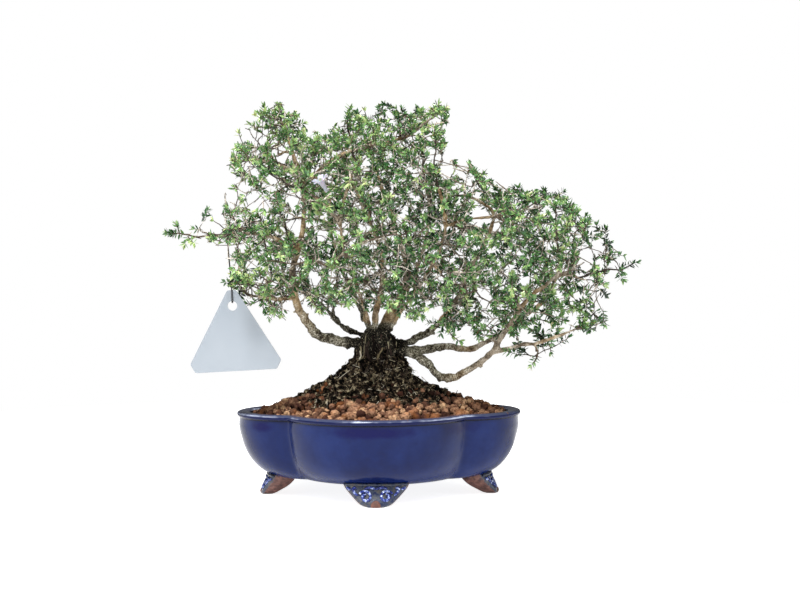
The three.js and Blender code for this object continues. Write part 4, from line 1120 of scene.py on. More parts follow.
# ------------------------------------------------ limbs, as the solids'
# name: radius at the start, radius at the end, points
LIMBS = {
    "left_limb": (5.4, 2.4, [
        (-8, -3, 108), (-16, -6, 112), (-40, -16, 116), (-50, -20, 126), (-58, -24, 141),
        (-61, -24, 165), (-55, -18, 188), (-53, -12, 212), (-55, -8, 230)]),
    "left_rear": (2.8, 1.8, [
        (-8, 6, 115), (-21, 14, 120), (-32, 19, 127), (-40, 24, 136), (-54, 32, 146),
        (-69, 40, 155)]),
    "leader": (4.4, 2, [
        (1, 4, 115), (8, 7, 131), (17, 10, 145), (21, 12, 160), (19, 10, 180), (8, 5, 214),
        (-3, 2, 246)]),
    "left_leader": (4, 1.8, [
        (-3, -4, 116), (-1, -7, 134), (4, -8, 162), (1, -8, 187), (-9, -5, 209), (-23, -2, 242)]),
    "right_limb": (4.8, 2, [
        (8, -2, 104), (25, -8, 104), (36, -13, 96), (47, -19, 87), (57, -24, 88), (76, -30, 100),
        (85, -32, 108), (92, -33, 120), (108, -30, 142), (125, -25, 156), (143, -20, 165)]),
    "right_low": (2, 1.3, [(82, -31, 105), (101, -34, 110), (118, -34, 113), (144, -29, 122)]),
    "right_rear": (3.6, 1.8, [
        (6, 2, 107), (24, 3, 105), (49, 8, 108), (64, 14, 105), (78, 20, 108), (111, 36, 129),
        (129, 42, 142)]),
    "right_leader": (3.8, 1.8, [
        (6, 3, 110), (22, 9, 111), (41, 20, 121), (54, 25, 134), (64, 27, 152), (84, 22, 194),
        (90, 18, 212)]),
    "back_left": (3.4, 1.8, [
        (-4, 5, 114), (-15, 28, 139), (-26, 45, 158), (-35, 56, 182), (-40, 60, 210)]),
    "back_right": (3.4, 1.8, [
        (4, 6, 116), (17, 30, 143), (28, 46, 164), (36, 56, 189), (40, 58, 217)]),
    "front_left": (2.8, 1.6, [
        (-3, -4, 117), (-11, -24, 144), (-17, -42, 164), (-22, -52, 183), (-25, -56, 204)]),
    "front_right": (2.8, 1.6, [
        (5, -1, 116), (25, -18, 145), (38, -38, 164), (47, -50, 183), (51, -54, 204)]),
    "top_left": (2, 1.3, [(-55, -8, 230), (-60, -8, 247), (-65, -6, 264), (-70, -5, 276)]),
    "top_mid": (2.3, 1.4, [
        (-55, -8, 230), (-44, -6, 236), (-36, -4, 245), (-16, 0, 254), (7, 0, 260), (21, 0, 264),
        (44, -4, 279)]),
    "upper_left": (2, 1.3, [
        (-55, -8, 230), (-66, -11, 240), (-76, -13, 245), (-87, -15, 246), (-99, -16, 246)]),
    "long_left": (2.2, 1.2, [
        (-58, -21, 180), (-68, -28, 186), (-82, -35, 192), (-113, -41, 191)]),
    "low_left": (1.8, 1.3, [(-60, -25, 147), (-69, -26, 144), (-90, -25, 147), (-100, -22, 155)]),
}

# The crown's front outline, (x, z), clockwise from the left.
CROWN_OUTLINE = [
    (-123, 214), (-112, 229), (-109, 254), (-101, 271), (-92, 284), (-80, 291), (-63, 289),
    (-50, 275), (-40, 267), (-28, 276), (-19, 288), (4, 289), (30, 286), (47, 289), (55, 283),
    (53, 263), (55, 248), (72, 245), (87, 231), (106, 227), (126, 224), (141, 222), (150, 212),
    (169, 198), (174, 184), (194, 170), (181, 154), (171, 143), (168, 121), (150, 114),
    (129, 105), (107, 101), (86, 107), (68, 114), (47, 119), (26, 127), (6, 134), (-20, 134),
    (-41, 130), (-60, 138), (-69, 127), (-86, 130), (-102, 142), (-116, 157), (-115, 178),
    (-129, 189),
]
# Gaps that one sees through, (x, z, radius).
CROWN_GAPS = [
    (-59, 203, 10), (-68, 250, 7), (-31, 196, 7), (77, 206, 10), (156, 176, 9), (40, 129, 10),
    (-24, 130, 10), (95, 114, 7),
]
# Shoots that end at a known place.
SHOOT_TIPS = [
    (-152, -38, 193), (-142, -44, 199), (-137, -42, 182), (-131, -30, 196), (-127, -49, 184),
    (-123, -14, 212), (-104, -14, 255), (-101, -10, 267), (-91, -6, 281), (-83, -4, 289),
    (-71, -2, 290), (-52, 2, 276), (-19, 0, 288), (4, 2, 289), (19, -6, 284), (30, 4, 286),
    (47, -4, 289), (54, -2, 285), (69, 0, 246), (81, 4, 238), (86, -6, 230), (104, 0, 227),
    (122, -6, 224), (140, 0, 223), (148, -10, 210), (168, -8, 197), (172, 4, 184),
    (192, -14, 170), (181, -12, 155), (169, -6, 144), (165, -26, 122), (141, -30, 117),
    (125, -32, 105), (110, -34, 93), (90, -36, 107), (-77, -30, 129), (-100, -20, 144),
    (-113, -20, 158),
]
LONE_SPRAYS = [(-134, -40, 191), (118, -33, 101)]
# Gaps that show in the leaves from the front, (x, z, radius).
LEAF_GAPS = [
    (-88, 217, 8), (-89, 265, 6), (64, 116, 6), (-61, 201, 7), (164, 181, 6), (-27, 121, 6),
    (37, 265, 5), (-46, 273, 5), (135, 207, 5), (87, 200, 6), (-62, 220, 6), (-69, 252, 6),
    (-77, 234, 5), (153, 169, 5), (-93, 171, 5), (73, 228, 5), (64, 238, 6), (79, 145, 5),
    (-66, 137, 6), (30, 239, 4), (164, 142, 4), (-105, 170, 4), (103, 216, 4), (-107, 219, 5),
    (-119, 205, 5), (-118, 219, 4), (54, 243, 5), (-116, 183, 4), (45, 250, 5), (-46, 160, 4),
    (10, 121, 5), (179, 168, 4), (-96, 242, 4), (-28, 196, 5), (-44, 190, 4),
]
CROWN_BOX = ((-130, 195), (-97, 89), (92, 292))
CROWN_MIDDLE = {"x": 12, "y": -4, "z": 200, "half_length": 190, "half_height": 105}


def inside_outline(x, z):
    inside = False
    for (x1, z1), (x2, z2) in zip(CROWN_OUTLINE, CROWN_OUTLINE[1:] + CROWN_OUTLINE[:1]):
        if (z1 > z) != (z2 > z) and x < (x2 - x1) * (z - z1) / (z2 - z1) + x1:
            inside = not inside
    return inside


def inside_crown(x, y, z):
    across = (x - CROWN_MIDDLE["x"]) / CROWN_MIDDLE["half_length"]
    up = (z - CROWN_MIDDLE["z"]) / CROWN_MIDDLE["half_height"]
    half_depth = CROWN_HALF_DEPTH * math.sqrt(max(0, 1 - across * across - up * up))
    if abs(y - CROWN_MIDDLE["y"]) > max(CROWN_EDGE_DEPTH, half_depth):
        return False
    if any(math.hypot(x - gx, z - gz) <= radius for gx, gz, radius in CROWN_GAPS):
        return False
    return inside_outline(x, z)


def nearest(places, p):
    return int(np.argmin(((places - p) ** 2).sum(1)))


def share_crown():
    """Points through the crown, and the sprays' middles, each with its own share of the points."""
    draw = seeded(20261)
    points = []
    while len(points) < CROWN_POINTS:
        p = tuple(mix(low, high, draw()) for low, high in CROWN_BOX)
        if inside_crown(*p):
            points.append(p)
    points = np.array(points)
    middles = points[:SPRAYS].copy()
    for _ in range(SETTLING_ROUNDS):
        owner = np.array([nearest(middles, p) for p in points])
        middles = np.array([points[owner == i].sum(0) / max(1, (owner == i).sum())
                            for i in range(SPRAYS)])
    middles = np.concatenate([np.array(LONE_SPRAYS, float), middles])
    known = [[] for _ in middles]
    others = [[] for _ in middles]
    for p in np.array(SHOOT_TIPS, float):
        known[nearest(middles, p)].append(p)
    for p in points:
        others[nearest(middles, p)].append(p)
    return middles, known, others


# ------------------------------------------------ branches, as the solids'
BRANCH_ROOT_RADIUS = 1.9
BRANCH_TIP_RADIUS = 1.15
BRANCH_STEPS = 2
SPRAY_ENTRY = 14
SHORTEST_BRANCH = 6
LONG_BRANCH = 16  # past which a branch bears others near its tip
BRANCH_BEARS = [0.2, 0.6]  # shares of a stretch where others may start
TURN_COST = 0.45
STALK_RADII = [1, 0.8, 0.7, 0.6]


def stretches_of(points, radii):
    """Stretches of wood: [start, end, start radius, end radius, heading, bearing shares]."""
    return [[a, b, ra, rb, unit(b - a), BRANCH_BEARS]
            for a, b, ra, rb in zip(points, points[1:], radii, radii[1:])]


def branch_place(wood, goal):
    """The easiest place to branch off towards a goal: (cost, place, stretch, share, radius)."""
    best = (math.inf,)
    for stretch in wood:
        start, end, start_radius, end_radius, heading, bearing = stretch
        for share in bearing:
            place = start + (end - start) * share
            way = goal - place
            length = math.sqrt(way @ way)
            cost = length * (1 + TURN_COST * (1 - way @ heading / length))
            if cost < best[0]:
                best = (cost, place, stretch, share, mix(start_radius, end_radius, share))
    return best


def bezier(a, b, c, steps):
    shares = [k / steps for k in range(steps + 1)]
    return [(1 - t) ** 2 * a + 2 * t * (1 - t) * b + t * t * c for t in shares]


def branch_bend(place, heading, goal):
    length = np.linalg.norm(goal - place)
    bend = place + 0.4 * length * heading
    return bend + 0.35 * ((place + goal) / 2 - bend)


def grow_wood(middles):
    """The limbs' stretches, and the curve and stretches of a branch to each spray and of the
    bloom's stalk."""
    wood = []
    for start_radius, end_radius, places in LIMBS.values():
        points = [np.array(p, float) for p in places]
        wood += stretches_of(points, np.linspace(start_radius, end_radius, len(points)))
    reach = [branch_place(wood, middle)[0] for middle in middles]
    branches = {}
    for i in sorted(range(len(middles)), key=lambda k: reach[k]):
        _, place, stretch, _, radius = branch_place(wood, middles[i])
        way = middles[i] - place
        length = max(SHORTEST_BRANCH + radius, np.linalg.norm(way) - SPRAY_ENTRY)
        goal = place + length * unit(way)
        bend = branch_bend(place, stretch[4], goal)
        root_radius = min(BRANCH_ROOT_RADIUS, 0.8 * radius)
        points = bezier(place, bend, goal, BRANCH_STEPS)
        radii = np.linspace(root_radius, BRANCH_TIP_RADIUS, BRANCH_STEPS + 1)
        stretches = stretches_of(points, radii)
        stretches[-1][5] = [0.1] if length > LONG_BRANCH else []
        branches[i] = {"ends": (place, bend, goal), "radius": root_radius, "stretches": stretches}
        wood += stretches
    foot = BLOOM - BLOOM_AXIS * (FUNNEL_LENGTH + CALYX_LENGTH + 2 * GAP)
    root = branch_place(wood, foot)[1]
    bend = foot - BLOOM_AXIS * 0.4 * np.linalg.norm(foot - root)
    wood += stretches_of(bezier(root, bend, foot, 3), STALK_RADII)
    return wood, branches, (root, bend, foot)


# ------------------------------------------------ shoots, as the solids'
STEM_RADIUS = 1.05
TWIG_RADIUS = 0.5
NODE_RADIUS = 0.45
SHORTEST_TWIG = 1.4 * LEAF_LENGTH
STEM_BEARS = [0.3, 0.52, 0.74]
WAY_STEP = 1.5  # between the places where a shoot's way is tried for room
WAY_ROOM = (0.7, 0.3)  # on its first part and on the rest


def wood_table(wood):
    starts = np.array([s[0] for s in wood])
    ways = np.array([s[1] for s in wood]) - starts
    start_radii, end_radii = (np.array([s[k] for s in wood]) for k in (2, 3))
    return starts, ways, (ways ** 2).sum(1), start_radii, end_radii


def room_beside(table, p):
    starts, ways, squares, start_radii, end_radii = table
    shares = np.clip(((p - starts) * ways).sum(1) / squares, 0, 1)
    places = starts + ways * shares[:, None]
    return (np.linalg.norm(p - places, axis=1) - mix(start_radii, end_radii, shares)).min()


def room_in_share(middles, i, p):
    between = np.delete(middles, i, 0) - middles[i]
    apart = np.linalg.norm(between, axis=1)
    return (apart / 2 - between @ (p - middles[i]) / apart).min()


def grow_shoots(i, middles, known, others, branch, all_wood):
    """The spray's main shoots, by the same rule as the solids': (from, goal, radius)."""
    own = branch["stretches"]
    beside_all = wood_table(all_wood)
    beside_other = wood_table([s for s in all_wood if not any(s is o for o in own)])

    def fits(p, radius, table=beside_all):
        return (room_in_share(middles, i, p) > CELL_MARGIN + radius
                and room_beside(table, p) > WOOD_CLEARANCE + radius)

    def way_fits(start, goal):
        steps = math.ceil(np.linalg.norm(goal - start) / WAY_STEP)
        return all(fits(start + (goal - start) * k / steps, WAY_ROOM[k / steps >= 0.6])
                   for k in range(1, steps + 1))

    before, tip = own[-1][0], own[-1][1]
    heading = unit(tip - before)
    start = tip + GAP * heading
    known, others = list(known), sorted(others, key=lambda p: -((p - start) @ heading))
    shoots, places = [], []

    def try_shoot(root, goal, radius, root_way):
        free = root + 2 * root_way
        if not fits(root, radius, beside_other) or not fits(free, radius, beside_other):
            return False
        if np.linalg.norm(goal - root) < SHORTEST_TWIG or not way_fits(free, goal):
            return False
        shoots.append((root, goal, radius))
        wood_end = goal - LEAF_LENGTH * unit(goal - root)
        stretch = stretches_of([root, wood_end], [radius, NODE_RADIUS])[0]
        stretch[5] = STEM_BEARS
        places.append(stretch)
        return True

    for goal in known + others:
        forward = (goal - start) @ heading > 0.6 * np.linalg.norm(goal - start)
        if forward and try_shoot(start, goal, STEM_RADIUS, heading):
            break
    taken = [start, *(goal for _, goal, _ in shoots)]
    wanted = max(TWIGS_PER_SPRAY, len(known))
    while shoots and len(shoots) < wanted and known + others:
        pool = known if known else others
        room = [min(np.linalg.norm(p - q) for q in taken) for p in pool]
        goal = pool.pop(int(np.argmax(room)))
        _, place, stretch, share, _ = branch_place(places, goal)
        if not try_shoot(place, goal, TWIG_RADIUS, unit(goal - place)):
            continue
        taken.append(goal)
        stretch[5] = [other for other in stretch[5] if other != share]
    return shoots


# ------------------------------------------------ the finished wood
def gnarled(path, radii, seed, wander):
    """A path and radii with a little of the crookedness and swelling that grown wood has."""
    crooked, swollen = [], []
    for k, (p, radius) in enumerate(zip(path, radii)):
        at = Vector((k * 0.35, seed * 7.3, 0))
        free = min(1, k / 3, (len(path) - 1 - k) / 3)
        crooked.append(p + wander * free * np.array(noise.noise_vector(at)))
        swollen.append(radius * (1 + 0.16 * noise.noise(at * 1.7)))
    return crooked, swollen


TRUNK_BASE = [(60, 12), (80, 14.5), (98, 15.5), (107, 14.5), (115, 12), (121, 8)]
TRUNK_X = -1
TRUNK_ROOTS = 15
WOOD_CELL = 1.0  # side of the cells that the wood is fused from


def add_trunk(bm):
    """The stump: a core with a dozen roots and old stems grown together round it."""
    core = smooth_path([(TRUNK_X, 0, z) for z, _ in TRUNK_BASE], 3)
    girths = np.interp(np.linspace(0, 1, len(core)), np.linspace(0, 1, len(TRUNK_BASE)),
                       [0.78 * radius for _, radius in TRUNK_BASE])
    sweep(bm, core, girths, 16)
    draw = seeded(97)
    for k in range(TRUNK_ROOTS):
        angle = 2 * math.pi * (k + 0.5 * draw()) / TRUNK_ROOTS
        twist = mix(-0.5, 0.5, draw())
        path = []
        for z, radius in TRUNK_BASE:
            share = (z - TRUNK_BASE[0][0]) / (TRUNK_BASE[-1][0] - TRUNK_BASE[0][0])
            turn = angle + twist * share
            reach = (radius + 0.4) * mix(1.12, 0.9, share) * 0.86
            path.append((reach * math.cos(turn) + TRUNK_X, 0.9 * reach * math.sin(turn), z))
        path = smooth_path(path, 3)
        radii = np.linspace(mix(3, 4.4, draw()), mix(1.8, 2.8, draw()), len(path))
        sweep(bm, *gnarled(path, radii, k, 1.6), 10)


# How much slenderer than the solids' some limbs are, and how all of them narrow.
SLENDER = {
    "leader": 0.9, "left_leader": 0.7, "left_rear": 0.85, "front_left": 0.5, "front_right": 0.6,
    "back_left": 0.7, "back_right": 0.7, "right_leader": 0.85, "left_limb": 0.8,
    "right_limb": 0.78,
}
THINNEST_LIMB = 1.3
LIMB_TAPER = 0.82
LIMB_TIP = (0.9, 0.75)
SPUR_COUNT = 90


def add_spurs(bm, paths):
    """Short dead stubs and knots on the limbs."""
    draw = seeded(611)
    for _ in range(SPUR_COUNT):
        path, radii = paths[int(draw() * len(paths))]
        k = int(mix(0.1, 0.95, draw()) * (len(path) - 1))
        along = unit(path[min(k + 1, len(path) - 1)] - path[k - 1])
        out = unit(np.cross(along, any_way(draw)))
        heading = unit(out + along * mix(-0.2, 0.8, draw()))
        girth = min(1.3, 0.45 * radii[k])
        length = radii[k] + mix(1.2, 4, draw() ** 2)
        spur = [path[k] + heading * length * share for share in (0, 0.5, 1)]
        sweep(bm, spur, [1.5 * girth, 1.1 * girth, 0.8 * girth], 6)


def wood_age(p):
    """0 on young wood, about a half on the low limbs, 1 on the stump."""
    stump = clamp((129 - p.z) / 8) * clamp((34 - abs(p.x - TRUNK_X)) / 14)
    near = math.hypot(p.x + 2, 1.3 * (p.z - 100))
    low = clamp((92 - near) / 45)
    if p.x > -12:
        low *= max(0.1, 1 - max(0, p.z - 120) / 10)
    rear = 0.8 if p.x < -12 and p.y > 8 and p.z < 146 else 0
    return max(stump, 0.52 * low, rear)


def make_tree(branches, stalk):
    bm = bmesh.new()
    add_trunk(bm)
    paths = []
    for k, (name, (start_radius, end_radius, points)) in enumerate(LIMBS.items()):
        path = smooth_path(points, 5)
        slender = SLENDER.get(name, 1)
        radii = np.linspace(start_radius * slender, max(end_radius * slender, THINNEST_LIMB),
                            len(path))
        radii *= np.linspace(1, LIMB_TAPER, len(path))
        radii[-2:] *= LIMB_TIP
        path, radii = gnarled(path, radii, k, 1.3)
        paths.append((path, radii))
        sweep(bm, path, radii, 12)
    add_spurs(bm, paths)
    for i, branch in branches.items():
        path = bezier(*branch["ends"], 8)
        radii = np.linspace(branch["radius"], BRANCH_TIP_RADIUS, len(path))
        sweep(bm, *gnarled(path, radii, 40 + i, 0.8), 8)
    sweep(bm, bezier(*stalk, 6), np.linspace(STALK_RADII[0], STALK_RADII[-1], 7), 8)
    face_outwards(bm)
    fused = modified(mesh_of(bm, "wood"), "REMESH", mode="VOXEL", voxel_size=WOOD_CELL,
                     adaptivity=0.0)
    bm = bmesh.new()
    bm.from_mesh(fused)
    bmesh.ops.smooth_vert(bm, verts=bm.verts[:], factor=0.5, use_axis_x=True, use_axis_y=True,
                          use_axis_z=True)
    bm.normal_update()
    age = bm.verts.layers.float.new("age")
    for v in bm.verts:
        v[age] = wood_age(v.co)
        knobs = mix(0.35, 1.0, min(1, 1.6 * v[age]))
        v.co += v.normal * knobs * (0.9 * noise.fractal(v.co / 3.2, 1.0, 2.0, 3)
                                    + 1.3 * noise.noise(v.co / 6))
    seated("tree_wood", bm, BARK, ["tree"])


STUMP_ROOTS = 60
ROOT_TOPS = (104, 119)
ROOT_FOOT = 100  # where the strands leave the stump for the mound
ROOT_START = 0.97  # and the share of the mound's profile there


def make_stump_roots():
    """Pale and mossy root strands that run down the stump and out over the mound."""
    draw = seeded(409)
    bm = bmesh.new()
    tone = bm.verts.layers.float.new("tone")
    for k in range(STUMP_ROOTS):
        angle = 2 * math.pi * (k + draw()) / STUMP_ROOTS
        top = mix(*ROOT_TOPS, draw())
        radius = np.interp(top, [z for z, _ in TRUNK_BASE], [r for _, r in TRUNK_BASE]) + 1.8
        path = []
        for z in np.linspace(top, ROOT_FOOT, 3):
            path.append((radius * math.cos(angle) + TRUNK_X, 0.9 * radius * math.sin(angle), z))
            angle += mix(-0.16, 0.16, draw())
            radius += 0.5
        for share in np.linspace(ROOT_START, mix(0.45, 0.85, draw()), 4):
            place, outward = on_mound(share, angle)
            path.append(tuple(place + outward * 1.5))
            angle += mix(-0.12, 0.12, draw())
        path = smooth_path(path, 4)
        girth = mix(0.4, 0.95, draw() ** 1.5)
        radii = np.linspace(girth, 0.4 * girth, len(path))
        before = len(bm.verts)
        sweep(bm, *gnarled(path, radii, 80 + k, 1.0), 6)
        bm.verts.ensure_lookup_table()
        shade = mix(0, 0.4, draw()) if draw() < 0.75 else mix(0.65, 1, draw())
        for v in bm.verts[before:]:
            v[tone] = shade
    face_outwards(bm)
    seated("stump_roots", bm, FIBRES)


# ------------------------------------------------ leaves and twigs
LEAF_STATIONS = [
    # (along, half width), as shares of the leaf's length
    (0.34, 0.185), (0.7, 0.14),
]
LEAF_RIDGE = 0.07
LEAF_DROOP = 0.14


def leaf_template():
    """A pointed oval leaf, one unit long, with a raised midrib and closed below."""
    bm = bmesh.new()
    rib = bm.verts.layers.float.new("rib")
    stations = [(0, 0), *LEAF_STATIONS, (1, 0)]
    bmesh.ops.create_grid(bm, x_segments=len(stations) - 1, y_segments=2, size=1)
    for v in bm.verts:
        along, half_width = stations[round((v.co.x + 1) / 2 * (len(stations) - 1))]
        v[rib] = 1 - abs(round(v.co.y))
        ridge = LEAF_RIDGE * v[rib] * half_width / 0.2
        v.co = Vector((along, v.co.y * half_width, ridge - LEAF_DROOP * along ** 2))
    bmesh.ops.remove_doubles(bm, verts=bm.verts[:], dist=1e-5)
    bmesh.ops.contextual_create(bm, geom=[e for e in bm.edges if e.is_boundary])
    return template_of(bm, "leaf")


def twig_template():
    """A slightly bowed three-sided twig, one unit long and one wide, narrowing to its tip."""
    bm = bmesh.new()
    path = [Vector((0, 0, 0)), Vector((0.5, 0.2, 0.5)), Vector((0, 0, 1))]
    sweep(bm, path, [1, 0.85, 0.6], 3)
    return template_of(bm, "twig")


def leaf_matrix(root, heading, face, length):
    heading = unit(heading)
    side = np.cross(face, heading)
    side = unit(side) if np.linalg.norm(side) > 1e-4 else unit(np.cross((0.1, 0.9, 0.3), heading))
    matrix = np.eye(4)
    matrix[:3, 0], matrix[:3, 1] = heading * length, side * length
    matrix[:3, 2] = np.cross(heading, side) * length
    matrix[:3, 3] = root
    return matrix


def twig_matrix(start, end, radius):
    way = end - start
    length = np.linalg.norm(way)
    heading = way / length
    side = unit(np.cross(heading, (0.37, 0.21, 0.9)))
    matrix = np.eye(4)
    matrix[:3, 0], matrix[:3, 1] = side * radius, np.cross(heading, side) * radius
    matrix[:3, 2] = way
    matrix[:3, 3] = start
    return matrix


UP = np.array([0, 0, 1.0])
CROWN_HEART = np.array([12, -4, 190.0])
LEAF_PAIR_STEP = 1.1
LEAF_LENGTHS = (3.7, 5.6)
MISSING_LEAVES = 0.2  # of those behind the two youngest pairs
TWIG_JOINT = 7
THINNEST_TWIG = 0.48
TUFT_LENGTHS = (3.5, 7.5)
LONGEST_TUFT = 14
LEAF_REACH = 0.02  # how far past the solids' box a leaf may reach, as a share of it
BEHIND_BLOOM = 45
LIMB_TUFTS = 700
END_TUFTS = 5  # at the end of each limb
TUFTS_FROM = 138  # lowest place on a limb that bears side shoots
TIP_LEAN = 24  # degrees out of the twig's line at its tip, and further back
SIDE_LEAN = 62
LEAN_CHANCE = 40
TURN_CHANCE = 0.9
LEAF_ROLL = 1.8
BLOOM_ROOM = 9  # kept free of leaves round the bloom
VIEW_MIDDLE = (12, 200)
SHORTEST_JOINT = 2.8
BEND_WEIGHT = 0.35  # how much a bend counts against a twig's way
TOP_NOTCH = (-40, 284, 16)  # between the crown's two top humps, (x, z, radius) from the front


def seen_from_front(p):
    """Where a place shows on the plane through the pot's middle, from the camera's place."""
    share = -CAMERA_PLACE.y / (p[1] - CAMERA_PLACE.y)
    return (CAMERA_PLACE.x + (p[0] - CAMERA_PLACE.x) * share,
            CAMERA_PLACE.z + (p[2] - CAMERA_PLACE.z) * share)


def in_leaf_gap(p, margin=0.0):
    x, z = seen_from_front(p)
    margin += 4.5 * noise.noise(Vector((x / 6, z / 6, 3.5)))
    return any(math.hypot(x - gx, z - gz) < radius + margin for gx, gz, radius in LEAF_GAPS)


def hides_bloom(p):
    """Whether a leaf's tip touches the bloom or stands in front of it."""
    x, z = seen_from_front(p)
    bloom_x, bloom_z = seen_from_front(BLOOM - 3 * BLOOM_AXIS)
    return math.hypot(x - bloom_x, z - bloom_z) < BLOOM_ROOM and p[1] < BLOOM[1] + BLOOM_ROOM


def in_view_of_crown(p):
    """Whether a place shows inside the crown's outline, which is notched between its shoots."""
    x, z = seen_from_front(p)
    notch = max(0, noise.noise(Vector((x / 9, z / 9, 0.5))))
    middle_x, middle_z = VIEW_MIDDLE
    return inside_outline(middle_x + (1 + 0.16 * notch) * (x - middle_x),
                          middle_z + (0.99 + 0.2 * notch) * (z - middle_z))


def cut_to_crown(root, goal):
    """The part of a shoot that shows inside the crown's outline."""
    share = 1.0
    while share > 0.35 and not in_view_of_crown(root + share * (goal - root)):
        share -= 0.05
    return root + share * (goal - root)


def add_leaves(leaves, root, tip, bare, tone, draw, known=False):
    """Crowded opposite pairs of leaves from the bare share of a twig on to its tip, each pair
    turned a quarter from the last and leaning further out than the next."""
    way = unit(tip - root)
    length = np.linalg.norm(tip - root)
    side = unit(np.cross(way, (0.31, 0.17, 0.93)))
    other = np.cross(way, side)
    spin = 6.3 * draw()
    back = 0.1
    pair = 0
    while back < (1 - bare) * length:
        lean = mix(TIP_LEAN, SIDE_LEAN, min(1, back / 3.2))
        for half in (0, math.pi):
            if pair > 1 and draw() < MISSING_LEAVES:
                continue
            angle = spin + pair * math.pi / 2 + half + TURN_CHANCE * (draw() - 0.5)
            lean_angle = math.radians(lean + LEAN_CHANCE * (draw() - 0.5))
            out = math.cos(angle) * side + math.sin(angle) * other
            heading = unit(math.cos(lean_angle) * way + math.sin(lean_angle) * out + 0.12 * UP)
            face = way + 0.5 * UP - 0.2 * out + LEAF_ROLL * any_way(draw)
            size = mix(*LEAF_LENGTHS, draw()) * (0.8 if pair == 0 else 1)
            young = 0.18 if pair < 2 else 0
            leaf_tone = tone + young - 0.05 * min(pair, 5) + 0.3 * (draw() - 0.5)
            place = tip - back * way
            end = place + size * heading
            shows = known or (in_view_of_crown(end) and not in_leaf_gap(end))
            if shows and not hides_bloom(end):
                leaves.append((leaf_matrix(place, heading, face, size), clamp(leaf_tone)))
        pair += 1
        back += LEAF_PAIR_STEP * mix(0.75, 1.25, draw()) * (0.55 if pair < 3 else 1)


def tone_with_painted_light(p, draw):
    """How light the leaves of a shoot are: painted lighter high up and at the crown's skin as
    painted light, darker in its middle as painted shade, and lighter to the left.
    """
    patch = noise.noise(Vector(p) / 30)
    # painted light: lighter at the crown's skin and higher up; painted shade towards its middle
    light = 0.05 + 0.26 * outness(p) + 0.1 * (p[2] - 100) / 190 - 0.0007 * p[0]
    return light + 0.34 * patch + 0.52 * draw() ** 2


def outness(p):
    """0 in the crown's middle, 1 at its skin."""
    across, deep, up = (p[0] - 12) / 175, (p[1] + 4) / 92, (p[2] - 195) / 100
    return min(1, math.sqrt(across ** 2 + deep ** 2 + up ** 2))


def crooked_twig(start, end, radius, draw):
    """A twig, in joints where it is long, each joint a little off the straight line."""
    # painted shade: a share of the twigs, growing towards the crown's skin, gets a dark tone as if
    # shaded by the leaves
    shaded = draw() < 0.16 + 0.5 * outness(end) ** 2
    tone = mix(0, 0.35, draw()) if shaded else mix(0.5, 1, draw())
    length = np.linalg.norm(end - start)
    joints = 1 + int(length / TWIG_JOINT)
    points = [start + (end - start) * k / joints for k in range(joints + 1)]
    for k in range(1, joints):
        points[k] = points[k] + 0.1 * length * np.array(noise.noise_vector(Vector(points[k]) / 5))
    radii = np.linspace(radius, 0.6 * radius, joints + 1)
    return [(twig_matrix(a, b, r), tone) for a, b, r in zip(points, points[1:], radii)]


def fill_spray(shoots, known, others, extra, start, draw):
    """Fine growth on the main shoots: a twig to each point of the share, nearest ones first, and a
    tuft of leaves at its end; deep inside the crown most twigs have lost their leaves."""
    twigs, leaves = [], []
    places, radii = [start], [STEM_RADIUS]
    headings = [unit(shoots[0][1] - shoots[0][0])]
    known_set = {tuple(p) for p in [*known, *extra]}
    for root, goal, radius in shoots:
        x, z = seen_from_front((root + goal) / 2)
        if math.hypot(x - TOP_NOTCH[0], z - TOP_NOTCH[1]) < TOP_NOTCH[2]:
            continue
        way = unit(goal - root)
        is_known = tuple(goal) in known_set
        if not is_known:
            goal = cut_to_crown(root, goal)
        wood_end = goal - min(5, 0.4 * np.linalg.norm(goal - root)) * way
        twigs += crooked_twig(root - 0.3 * way, wood_end, radius * 0.9, draw)
        for share in (0.25, 0.45, 0.65, 0.85, 1.0):
            places.append(root + (wood_end - root) * share)
            headings.append(way)
            radii.append(mix(radius, NODE_RADIUS, share))
        bare = max(0.3, 1 - LONGEST_TUFT / np.linalg.norm(goal - root))
        add_leaves(leaves, root, goal - 2.5 * way, bare, tone_with_painted_light(goal, draw), draw, is_known)
    reached = {tuple(goal) for _, goal, _ in shoots}
    spare = [p + 8 * any_way(draw) for p in others]
    order = sorted([*known, *extra, *others, *spare], key=lambda p: np.linalg.norm(p - start))
    for goal in order:
        is_known = tuple(goal) in known_set
        beyond = goal + 2.5 * unit(goal - CROWN_HEART)
        hidden = in_leaf_gap(goal, -1) or not in_view_of_crown(beyond) or hides_bloom(goal)
        if tuple(goal) in reached or (hidden and not is_known):
            continue
        ways = goal - np.array(places)
        lengths = np.maximum(np.linalg.norm(ways, axis=1), 1e-6)
        turns = 1 - (ways * np.array(headings)).sum(1) / lengths
        k = int(np.argmin(lengths * (1 + BEND_WEIGHT * turns)))
        length = lengths[k]
        if length < SHORTEST_JOINT:
            continue
        root, way = places[k], ways[k] / length
        radius = max(THINNEST_TWIG, min(0.85, 0.88 * radii[k]))
        twigs += crooked_twig(root, goal, radius, draw)
        for share in (0.5, 1.0):
            places.append(root + (goal - root) * share)
            headings.append(way)
            radii.append(radius * mix(1, 0.6, share))
        leafy = LEAFY_INSIDE + (LEAFY_OUTSIDE - LEAFY_INSIDE) * outness(goal) ** 2
        leafy += 1.6 * noise.noise(Vector(goal) / 13) + 0.0011 * goal[0]
        if is_known or draw() < leafy:
            bare = max(0.25, 1 - mix(*TUFT_LENGTHS, draw()) / length)
            add_leaves(leaves, root, goal, bare, tone_with_painted_light(goal, draw), draw, is_known)
    return twigs, leaves


# Sprigs that hang or stand below the crown, by the ends they reach.
LOW_SPRIGS = np.array([
    (42, -30, 124), (46, -32, 119), (51, -30, 122), (38, -30, 127), (33, -28, 131), (55, -30, 117),
    (28, -30, 134), (16, -24, 134), (-8, -26, 138), (60, -28, 113), (48, -34, 127),
], float)


